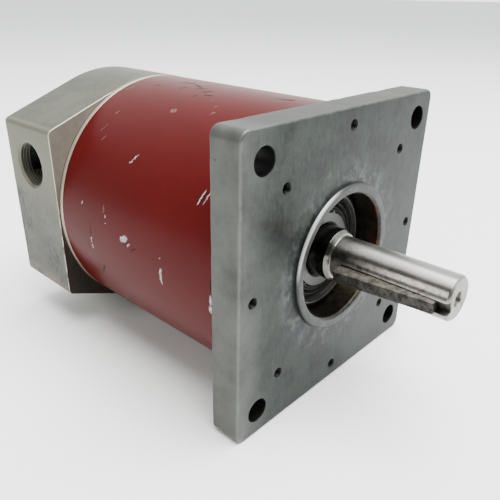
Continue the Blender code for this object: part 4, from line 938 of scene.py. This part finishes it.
# ---- housing --------------------------------------------------------------------------------
def front_flange():
    """Square flange with worn edges, pilot ring, tapped holes, bearing bore, hub and skirt."""
    shell = Shell()
    bolt_centres = [(y * BOLT_HALF_PITCH, z * BOLT_HALF_PITCH) for y in (-1, 1) for z in (-1, 1)]
    bolt_holes = [hole(BOLT_HOLE_R, 40, centre) for centre in bolt_centres]
    exits = [hole(TAPPED_HOLE_R, 20, polar(TAPPED_CIRCLE_R, angle)) for angle in DIAGONALS]
    wide = [hole(2.25 * mm, 20, polar(TAPPED_CIRCLE_R, angle)) for angle in DIAGONALS]
    blind = [hole(TAPPED_HOLE_R, 20, polar(TAPPED_CIRCLE_R, math.pi / 2 * i)) for i in range(4)]
    edge, back_edge, pilot_edge, mouth = 0.9 * mm, 0.7 * mm, 0.75 * mm, 1.3 * mm
    hole_edge, hub_edge, bore_edge, foot = 0.3 * mm, 0.6 * mm, 0.4 * mm, 0.15 * mm
    pilot = disc(PILOT_R, 144)
    bore = hole(BEARING_BORE_R, 144)
    lip = hole(16.6 * mm, 64)
    inner_bore = hole(18.8 * mm, 64)
    skirt = notched_circle(REGISTER_R)
    skirt_bore = hole(44.2 * mm, 72)
    hub = disc(29.5 * mm, 72)
    skirt_end, hub_end = 43.0 * mm, 36.6 * mm
    groove_front, groove_back, groove = 33.9 * mm, 35.4 * mm, 1.2 * mm  # for the snap ring
    lip_front, lip_back = 22.3 * mm, 24.3 * mm
    blind_end, thread_start = FLANGE_THICK - 2 * mm, 3 * mm

    shell.face(-PILOT_HEIGHT, [pilot(pilot_edge), bore(mouth)])
    shell.wall(pilot, round_edge(-PILOT_HEIGHT, 1, pilot_edge) + [(0, -foot), (-foot, 0)])
    shell.face(0, [rounded_square(edge), pilot(-foot)] +
               [item(hole_edge) for item in bolt_holes + exits + blind])
    shell.wall(rounded_square, rounded_wall(0, FLANGE_THICK, edge, back_edge))
    shell.face(FLANGE_THICK, [rounded_square(back_edge), skirt] +
               [item(hole_edge) for item in bolt_holes] + [item(0) for item in wide])
    shell.tube(skirt, FLANGE_THICK, skirt_end)
    shell.face(skirt_end, [skirt, skirt_bore(0)])
    shell.tube(skirt_bore(0), FLANGE_THICK, skirt_end)
    shell.face(FLANGE_THICK, [skirt_bore(0), hub(0)])
    shell.wall(hub, [(0, FLANGE_THICK)] + round_edge(hub_end, -1, hub_edge)[::-1])
    shell.face(hub_end, [hub(hub_edge), inner_bore(bore_edge)])
    shell.wall(inner_bore, [(0, groove_back), (0, hub_end - bore_edge), (bore_edge, hub_end)])
    shell.face(groove_back, [inner_bore(groove), inner_bore(0)])
    shell.tube(inner_bore(groove), groove_front, groove_back)
    shell.face(groove_front, [inner_bore(groove), inner_bore(0)])
    shell.tube(inner_bore(0), lip_back, groove_front)
    shell.face(lip_back, [inner_bore(0), lip(0)])
    shell.tube(lip(0), lip_front, lip_back)
    shell.face(lip_front, [bore(0), lip(0)])
    shell.wall(bore, [(inset * mm, depth * mm - PILOT_HEIGHT) for inset, depth in
                      ((1.3, 0), (1.1, 0.03), (0.8, 0.15), (0.2, 0.75), (0.05, 1.0), (0, 1.3))] +
               [(0, lip_front)])
    for item in bolt_holes:
        shell.wall(item, rounded_wall(0, FLANGE_THICK, hole_edge, hole_edge))
    pitch, crest = 0.7 * mm, 0.22 * mm
    for item, end in zip(exits + blind, 4 * [thread_start] + 4 * [blind_end]):
        turns = int((end - 0.5 * mm) / pitch)
        stations = [(hole_edge, 0), (0, hole_edge)]
        for k in range(turns):
            start = hole_edge + k * pitch
            stations += [(-crest / 3, start + 0.2 * pitch), (crest, start + 0.6 * pitch)]
        shell.wall(item, stations + [(0, end)])
    for narrow, broad in zip(exits, wide):
        shell.face(thread_start, [broad(0), narrow(0)])
        shell.tube(broad(0), thread_start, FLANGE_THICK)
    for item in blind:
        shell.face(blind_end, [item(0)])

    def on_rim(place):
        reach = max(abs(place.y), abs(place.z - AXIS_Z))
        return reach > FLANGE_HALF - 1.0 * mm and place.x > -FACE_X + 0.1 * mm

    bmesh.ops.remove_doubles(shell.bm, verts=shell.bm.verts, dist=SEW)
    wear(shell.bm, on_rim, 0.3 * mm, 160)
    piece("front_flange_casting", shell.bm, "root", ["front_flange"], "front_casting")


def drum_shell():
    """Plain painted tube between the flange and the bell."""
    inner = DRUM_R - DRUM_WALL
    profile = [(DRUM_FRONT, inner), (DRUM_FRONT, DRUM_R), (DRUM_BACK, DRUM_R), (DRUM_BACK, inner)]
    profile = fillet(profile, 0.4 * mm)
    piece("red_drum", spin(profile, 192), "root", ["drum_shell"], "red_paint")


def conduit_threads():
    """Cutter of the conduit entry: a cone at the mouth and rings of thread behind it."""
    bm = bmesh.new()
    pitch, segments = 1.3 * mm, 72
    crest, root, cone = CONDUIT_R - 0.3 * mm, CONDUIT_R + 0.5 * mm, CONDUIT_R + 1.0 * mm
    mouth, last_thread, bottom = BELL_FLAT + 2 * mm, 41.5 * mm, 39.0 * mm
    profile = [(mouth, 0.0), (mouth, cone), (BELL_FLAT + 0.01 * mm, cone),
               (BELL_FLAT - 0.5 * mm, CONDUIT_R + 0.1 * mm)]
    reach = BELL_FLAT - 0.9 * mm
    while reach > last_thread:
        profile += [(reach, crest), (reach - 0.2 * pitch, crest),
                    (reach - 0.55 * pitch, root), (reach - 0.7 * pitch, root)]
        reach -= pitch
    profile += [(bottom, crest), (bottom, 0.0)]
    rows = []
    for i in range(segments):
        cos, sin = polar(1, 2 * math.pi * i / segments)
        rows.append([bm.verts.new((x_at(CONDUIT_DEPTH) + radius * cos, -distance,
                                   CONDUIT_Z + radius * sin)) for distance, radius in profile])
    for i in range(segments):
        near, far = rows[i], rows[(i + 1) % segments]
        for j in range(len(profile) - 1):
            bm.faces.new((near[j], near[j + 1], far[j + 1], far[j]))
    bmesh.ops.remove_doubles(bm, verts=bm.verts, dist=SEW)
    bmesh.ops.dissolve_degenerate(bm, edges=bm.edges, dist=0.0001 * mm)
    return bm


# places in the bell are (y, height above the shaft line)
COVER_SCREWS = [(-43.5 * mm, 29 * mm), (-43.5 * mm, -29 * mm),
                (41 * mm, 14 * mm), (41 * mm, -14 * mm)]
LEAD_HOLE = (-36 * mm, 0.0)
GROUND_SCREW = (18 * mm, 27 * mm)
REBATE = 3.0 * mm                           # width of the recess for the cover
LEDGE = 138.6 * mm                          # depth of that recess's floor
COVER_SCREW_END = 133.5 * mm
GROUND_SCREW_END = 106 * mm
HEAD_POCKET_R = 3.9 * mm
BACKING = (25.2 * mm, 6.1 * mm, 9.0 * mm)   # block behind the lower part of the entry's thread
BACKING_INSET = 2.05 * mm


def rear_end_bell():
    """Cast bell: rim beside the drum, box with one flat side, chamber, hub and conduit entry."""
    shell = Shell()
    rebate = bell_outline(REBATE)
    chamber = bell_outline(BELL_WALL)
    rim = disc(DRUM_R, 192)
    spigot = notched_circle(REGISTER_R)
    spigot_bore = hole(43.8 * mm, 72)
    hub = disc(20.5 * mm, 64)
    seat = hole(16.3 * mm, 64)
    bolt_holes = [circle(2.25 * mm, 16, polar(TAPPED_CIRCLE_R, angle)) for angle in DIAGONALS]
    pillars = [circle(3.7 * mm, 20, centre) for centre in COVER_SCREWS]
    screw_holes = [circle(1.6 * mm, 12, centre) for centre in COVER_SCREWS]
    lead_hole = circle(5.0 * mm, 24, LEAD_HOLE)
    ground_hole = circle(2.2 * mm, 12, GROUND_SCREW)
    spigot_front, hub_front, hub_back, seat_end = 97.6 * mm, 99.5 * mm, 116.0 * mm, 113.0 * mm
    front_edge, back_edge, rim_edge = 0.35 * mm, 1.6 * mm, 0.3 * mm

    shell.face(spigot_front, [spigot, spigot_bore(0)])
    shell.tube(spigot, spigot_front, DRUM_END)
    shell.face(DRUM_END, [rim(rim_edge), spigot] + bolt_holes)
    shell.wall(rim, round_edge(DRUM_END, 1, rim_edge) + [(0, BELL_FRONT)])
    shell.face(BELL_FRONT, [bell_outline(front_edge), rim(0)])
    shell.wall(bell_outline, rounded_wall(BELL_FRONT, BELL_BACK, front_edge, back_edge, 5))
    shell.face(BELL_BACK, [bell_outline(back_edge), rebate])
    shell.tube(rebate, LEDGE, BELL_BACK)
    shell.face(LEDGE, [rebate, chamber])
    shell.tube(chamber, BULKHEAD_BACK, LEDGE)
    shell.face(BULKHEAD_BACK, [chamber, hub(0), lead_hole, ground_hole] + bolt_holes + pillars)
    shell.wall(hub, [(0, BULKHEAD_BACK)] + round_edge(hub_back, -1, 0.8 * mm)[::-1])
    shell.face(hub_back, [hub(0.8 * mm)])
    shell.tube(spigot_bore(0), spigot_front, BELL_FRONT)
    shell.face(BELL_FRONT, [spigot_bore(0), hub(0), lead_hole])
    shell.tube(hub(0), hub_front, BELL_FRONT)
    shell.face(hub_front, [hub(0), seat(0)])
    shell.tube(seat(0), hub_front, seat_end)
    shell.face(seat_end, [seat(0)])
    shell.tube(lead_hole, BELL_FRONT, BULKHEAD_BACK)
    shell.tube(ground_hole, GROUND_SCREW_END, BULKHEAD_BACK)
    shell.face(GROUND_SCREW_END, [ground_hole])
    for points in bolt_holes:
        shell.tube(points, DRUM_END, BULKHEAD_BACK)
    for pillar, screw_hole in zip(pillars, screw_holes):
        shell.tube(pillar, BULKHEAD_BACK, LEDGE)
        shell.face(LEDGE, [pillar, screw_hole])
        shell.tube(screw_hole, COVER_SCREW_END, LEDGE)
        shell.face(COVER_SCREW_END, [screw_hole])

    def behind_rim(place):
        outside = place.y ** 2 + (place.z - AXIS_Z) ** 2 > (DRUM_R + 0.05 * mm) ** 2
        return outside and place.x < x_at(BELL_FRONT) + 0.01 * mm

    bmesh.ops.remove_doubles(shell.bm, verts=shell.bm.verts, dist=SEW)
    wear(shell.bm, behind_rim, 0.12 * mm, 140)
    bell = piece("rear_bell_casting", shell.bm, "root", ["rear_end_bell"], "bell_casting")
    block = bmesh.new()
    size = Matrix.Diagonal((*BACKING, 1.0))
    place = Matrix.Translation((x_at(CONDUIT_DEPTH), BELL_WALL - BELL_FLAT + BACKING_INSET,
                                CONDUIT_Z - CONDUIT_R))
    bmesh.ops.create_cube(block, size=1.0, matrix=place @ size)
    bmesh.ops.bevel(block, geom=block.edges[:], offset=0.8 * mm, segments=3, affect="EDGES",
                    profile=0.5)
    cut(bell, block, "UNION")
    cut(bell, conduit_threads())
    # on the round side the heads of two tie bolts sit in pockets in the wall
    head_top = FACE_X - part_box("tie_bolt_1")[0].x + FIT
    for angle in (DIAGONALS[0], DIAGONALS[3]):
        pocket = [(BULKHEAD_BACK, 0.0), (BULKHEAD_BACK, HEAD_POCKET_R),
                  (head_top, HEAD_POCKET_R), (head_top, 0.0)]
        cut(bell, spin(pocket, 32, polar(TAPPED_CIRCLE_R, angle)))


# ---- shaft, key and front bearing -----------------------------------------------------------
# the key's two ends, in front of the flange, and how far its top is from the shaft line there
KEY_FRONT, KEY_BACK = 40.5 * mm, 4.9 * mm
KEY_TOP_FRONT, KEY_TOP_BACK = 9.39 * mm, 12.69 * mm
KEY_SLOPE = (KEY_TOP_BACK - KEY_TOP_FRONT) / (KEY_FRONT - KEY_BACK)


def keyway_cutter():
    """Open-ended keyway whose floor ramps up to the shaft's surface at its back end."""
    start, end, floor, reach = 39.0 * mm, 3.9 * mm, 4.7 * mm, 20 * mm
    profile = [(SHAFT_REACH + 1 * mm, floor), (start, floor),
               (end, floor + KEY_SLOPE * (start - end)), (end, reach),
               (SHAFT_REACH + 1 * mm, reach)]
    return key_solid(profile, 4.76 * mm)


def key_solid(profile, width):
    """Solid of a (reach in front of the flange, radius) outline, turned to the key's angle."""
    bm = bmesh.new()
    turn = Matrix.Rotation(KEY_ANGLE, 4, "X")
    sides = []
    for side in (-width / 2, width / 2):
        places = [turn @ Vector((x_at(-along), radius, side)) for along, radius in profile]
        sides.append([bm.verts.new(Vector((0, 0, AXIS_Z)) + place) for place in places])
    bm.faces.new(sides[0])
    bm.faces.new(sides[1])
    for i in range(len(profile)):
        j = (i + 1) % len(profile)
        bm.faces.new((sides[0][i], sides[0][j], sides[1][j], sides[1][i]))
    return bm


def output_shaft():
    """Stepped shaft with a countersunk centre hole and an open keyway."""
    end = -SHAFT_REACH
    seat_end, collar_end, back = 34.0 * mm, 36.6 * mm, 42.25 * mm
    collar_r, tail_r = 12.3 * mm, 8.7 * mm
    profile = [
        (end + 5.5 * mm, 0.0), (end + 4.9 * mm, 0.95 * mm), (end + 3.3 * mm, 0.95 * mm),
        (end, 2.85 * mm), (end, SHAFT_R - 0.8 * mm), (end + 0.8 * mm, SHAFT_R),
        (-0.5 * mm, SHAFT_R), (-0.1 * mm, SHAFT_R + 0.12 * mm), (0.0, SHAFT_R + 0.5 * mm),
        (0.0, SHAFT_SEAT_R - 1.2 * mm), (1.2 * mm, SHAFT_SEAT_R), (seat_end, SHAFT_SEAT_R),
        (seat_end, collar_r), (collar_end, collar_r), (collar_end, tail_r), (back, tail_r),
        (back, 0.0)]
    shaft = piece("keyed_output_shaft", spin(fillet(profile, 0.25 * mm, 3), 96), "output",
                  ["output_shaft"], "shaft_steel")
    cut(shaft, keyway_cutter())


def shaft_key():
    """Worn key: bevelled, a little uneven, standing out of its keyway at the back end."""
    height, edge = 4.4 * mm, 0.35 * mm
    profile = [(KEY_FRONT, KEY_TOP_FRONT - height), (KEY_FRONT, KEY_TOP_FRONT - edge),
               (KEY_FRONT - edge, KEY_TOP_FRONT + KEY_SLOPE * edge),
               (KEY_BACK + edge, KEY_TOP_BACK - KEY_SLOPE * edge),
               (KEY_BACK, KEY_TOP_BACK - edge), (KEY_BACK, KEY_TOP_BACK - height)]
    bm = key_solid(profile, 4.34 * mm)
    bmesh.ops.recalc_face_normals(bm, faces=bm.faces)
    bmesh.ops.bevel(bm, geom=bm.edges[:], offset=0.22 * mm, segments=2, affect="EDGES",
                    profile=0.6)
    long_edges = [item for item in bm.edges if item.calc_length() > 10 * mm]
    bmesh.ops.subdivide_edges(bm, edges=long_edges, cuts=40, use_grid_fill=True)
    for vert in bm.verts:
        dent = noise.noise(vert.co * 420) + 0.5 * noise.noise(vert.co * 1100)
        vert.co -= outward(vert.co) * max(0.0, dent) * 0.09 * mm
    piece("worn_shaft_key", bm, "output", ["shaft_key"], "worn_key_steel", sharp=40)


BEARINGS = {
    # bore, outer and ball radius, front and back depth (mm), number of balls, the bodies that
    # the inner ring and the balls ride on
    "front_bearing": (10.0, 23.5, 3.75, 8.0, 22.0, 8, "output", "front_bearing_cage"),
    "inner_bearing": (10.0, 18.5, 2.3, 24.6, 33.6, 9, "output", "inner_bearing_cage"),
    "rotor_front_bearing": (6.0, 16.0, 2.8, 60.6, 70.6, 7, "rotor", "rotor_front_bearing_cage"),
    "rotor_rear_bearing": (6.0, 16.0, 2.8, 101.0, 111.0, 7, "rotor", "rotor_rear_bearing_cage"),
}
RIBBON = 0.35 * mm     # thickness of a cage's ribbon, and its distance from the balls' middle
RIBBON_STEPS = 12      # from ball to ball


def ring(name, profile, body, node, look=None):
    """Turned ring of a bearing."""
    piece(name, spin(fillet(profile, 0.2 * mm, 2), 96), body, [node], "bearing_steel", look)


def bearing(name, spec):
    """Ball bearing with grooved rings, full balls and a two-part ribbon cage."""
    bore_r, outer_r, ball_r, front, back = (value * mm for value in spec[:5])
    balls, inner_body, cage_body = spec[5:]
    sealed = name == "front_bearing"
    pitch_r = (bore_r + outer_r) / 2
    middle = (front + back) / 2
    groove_r = ball_r + 0.15 * mm
    land = ball_r * 0.62
    spread = math.acos(land / groove_r)
    arc = [polar(groove_r, spread * (1 - i / 6)) for i in range(13)]
    bore, chamfer = bore_r + FIT / 2, 0.9 * mm
    inner = ([(back - chamfer, bore), (back, bore + chamfer), (back, pitch_r - land)] +
             [(middle + along, pitch_r - out) for out, along in arc] +
             [(front, pitch_r - land), (front, bore + chamfer), (front + chamfer, bore)])
    ring(name + "_inner_race", inner, inner_body, name + "_inner_ring")
    front_land = [(front, pitch_r + land)]
    if sealed:
        seat = front + 1.8 * mm
        front_land = [(seat, pitch_r + land), (seat, SEAL_SEAT_R), (front, SEAL_SEAT_R)]
    outer = ([(back - chamfer, outer_r), (back, outer_r - chamfer), (back, pitch_r + land)] +
             [(middle + along, pitch_r + out) for out, along in arc] + front_land +
             [(front, outer_r - chamfer), (front + chamfer, outer_r)])
    ring(name + "_outer_race", outer, "root", name + "_outer_ring", DARK_RING if sealed else None)
    # balls, and a ribbon that winds round them on either side
    bm = bmesh.new()
    for i in range(balls):
        y, z = polar(pitch_r, 2 * math.pi * i / balls)
        place = Matrix.Translation((x_at(middle), y, AXIS_Z + z))
        bmesh.ops.create_uvsphere(bm, u_segments=24, v_segments=14, radius=ball_r, matrix=place)
    steps = balls * RIBBON_STEPS
    low, high = pitch_r - 0.28 * ball_r, pitch_r + 0.28 * ball_r
    for side in (-1, 1):
        rows = []
        for i in range(steps):
            bulge = max(0.0, math.cos((i % RIBBON_STEPS) / RIBBON_STEPS * 2 * math.pi))
            near = x_at(middle) + side * (RIBBON + bulge * (ball_r * 0.97 - 0.2 * mm))
            far = near + side * RIBBON
            row = []
            for x, radius in ((near, low), (near, high), (far, high), (far, low)):
                y, z = polar(radius, 2 * math.pi * i / steps)
                row.append(bm.verts.new((x, y, AXIS_Z + z)))
            rows.append(row)
        for i in range(steps):
            near, far = rows[i], rows[(i + 1) % steps]
            for j in range(4):
                k = (j + 1) % 4
                bm.faces.new((near[j], near[k], far[k], far[j]))
    piece(name + "_balls", bm, cage_body, [name + "_ball_cage"], "ball_cage")


def front_seal():
    """Pressed rubber shield with a raised ring and a thin lip."""
    outer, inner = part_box("front_bearing_seal")[1].y, 14.75 * mm
    face = BEARINGS["front_bearing"][3] * mm + 0.5 * mm
    profile = [(face + 0.85 * mm, inner), (face + 0.85 * mm, outer), (face + 0.05 * mm, outer),
               (face, outer - 0.5 * mm), (face + 0.1 * mm, outer - 1.1 * mm),
               (face + 0.45 * mm, outer - 1.4 * mm),
               (face + 0.35 * mm, inner + 2.4 * mm), (face + 0.05 * mm, inner + 1.9 * mm),
               (face + 0.05 * mm, inner + 1.3 * mm), (face + 0.45 * mm, inner + 0.8 * mm),
               (face + 0.4 * mm, inner + 0.1 * mm)]
    piece("front_seal", spin(fillet(profile, 0.25 * mm, 3), 128), "root", ["front_bearing_seal"],
          "black_rubber")


# ---- set, light and camera ------------------------------------------------------------------
def pale_floor():
    """Wide sheet of pale paper, level with the object's lowest point."""
    look = Look("pale_paper", roughness=0.75)
    look.colour(look.mix(look.noise(90 * mm, 3.0), (0.83, 0.845, 0.835), (0.87, 0.88, 0.87)))
    look.bump(look.noise(2 * mm), 0.02 * mm, 0.2)
    half = 40.0
    mesh = bpy.data.meshes.new("floor")
    mesh.from_pydata([(-half, -half, 0), (half, -half, 0), (half, half, 0), (-half, half, 0)], [],
                     [(0, 1, 2, 3)])
    mesh.materials.append(look.material)
    floor = linked("floor", mesh)


def area_light(name, place, target, size, power, colour=(1.0, 1.0, 1.0)):
    """Rectangular lamp at a place, turned to the target."""
    data = bpy.data.lights.new(name, "AREA")
    data.shape = "RECTANGLE"
    data.size, data.size_y = size
    data.energy = power
    data.color = colour
    lamp = linked(name, data)
    lamp.location = place
    aim = Vector(target) - Vector(place)
    lamp.rotation_euler = aim.to_track_quat("-Z", "Y").to_euler()


def studio():
    """Pale room, dimmer on the side that the object is seen from, with two soft lamps."""
    world = bpy.data.worlds.new("pale_room")
    world.use_nodes = True
    tree = Tree(world.node_tree)
    facing = tree.node("ShaderNodeVectorMath", operation="DOT_PRODUCT")
    facing.inputs[1].default_value = (0.27, -0.96, 0.08)
    facing = tree.fed(facing, "Value", tree.node("ShaderNodeTexCoord").outputs["Generated"])
    background = tree.nodes["Background"]
    background.inputs["Color"].default_value = (0.93, 0.97, 0.95, 1.0)
    tree.put(background.inputs["Strength"],
             tree.ramp(facing, -0.15, 0.5, 2.8, 0.15, "SMOOTHSTEP"))
    bpy.context.scene.world = world
    middle = (-0.05, 0.0, AXIS_Z)
    area_light("overhead", (0.25, 0.1, 1.3), middle, (1.3, 1.1), 66.0)
    area_light("left_front", (-0.35, -1.0, 0.6), middle, (0.5, 0.5), 6.0, (1.0, 0.98, 0.95))


# the photo's camera: angles in degrees, distances from the flange's front face in mm
VIEW_AZIMUTH = 42.37
VIEW_ELEVATION = 25.19
VIEW_ROLL = 1.18
VIEW_DISTANCE = 200.84
VIEW_ASIDE = -33.6
VIEW_UP = 2.24
VIEW_LENS = 39.36


def camera():
    """The camera that took the photo, as it was fitted to the flange, drum and bell."""
    azimuth = math.radians(VIEW_AZIMUTH)
    elevation = math.radians(VIEW_ELEVATION)
    roll = math.radians(VIEW_ROLL)
    back = Vector((math.sin(azimuth) * math.cos(elevation),
                   -math.cos(azimuth) * math.cos(elevation), math.sin(elevation)))
    right = Vector((math.cos(azimuth), math.sin(azimuth), 0.0))
    up = back.cross(right)
    across = math.cos(roll) * right + math.sin(roll) * up
    upward = -math.sin(roll) * right + math.cos(roll) * up
    eye = (Vector((FACE_X, 0.0, AXIS_Z)) + back * VIEW_DISTANCE * mm + across * VIEW_ASIDE * mm +
           upward * VIEW_UP * mm)
    data = bpy.data.cameras.new("bench_view")
    data.lens = VIEW_LENS
    data.sensor_width = 36.0
    data.clip_start = 0.01
    data.clip_end = 20.0
    cam = linked("bench_view", data)
    cam.matrix_world = Matrix((across, upward, back)).transposed().to_4x4()
    cam.location = eye
    bpy.context.scene.camera = cam


def build():
    dress_cad_nodes()
    front_flange()
    drum_shell()
    rear_end_bell()
    output_shaft()
    shaft_key()
    for name, spec in BEARINGS.items():
        bearing(name, spec)
    front_seal()
    pale_floor()
    studio()
    camera()


build()
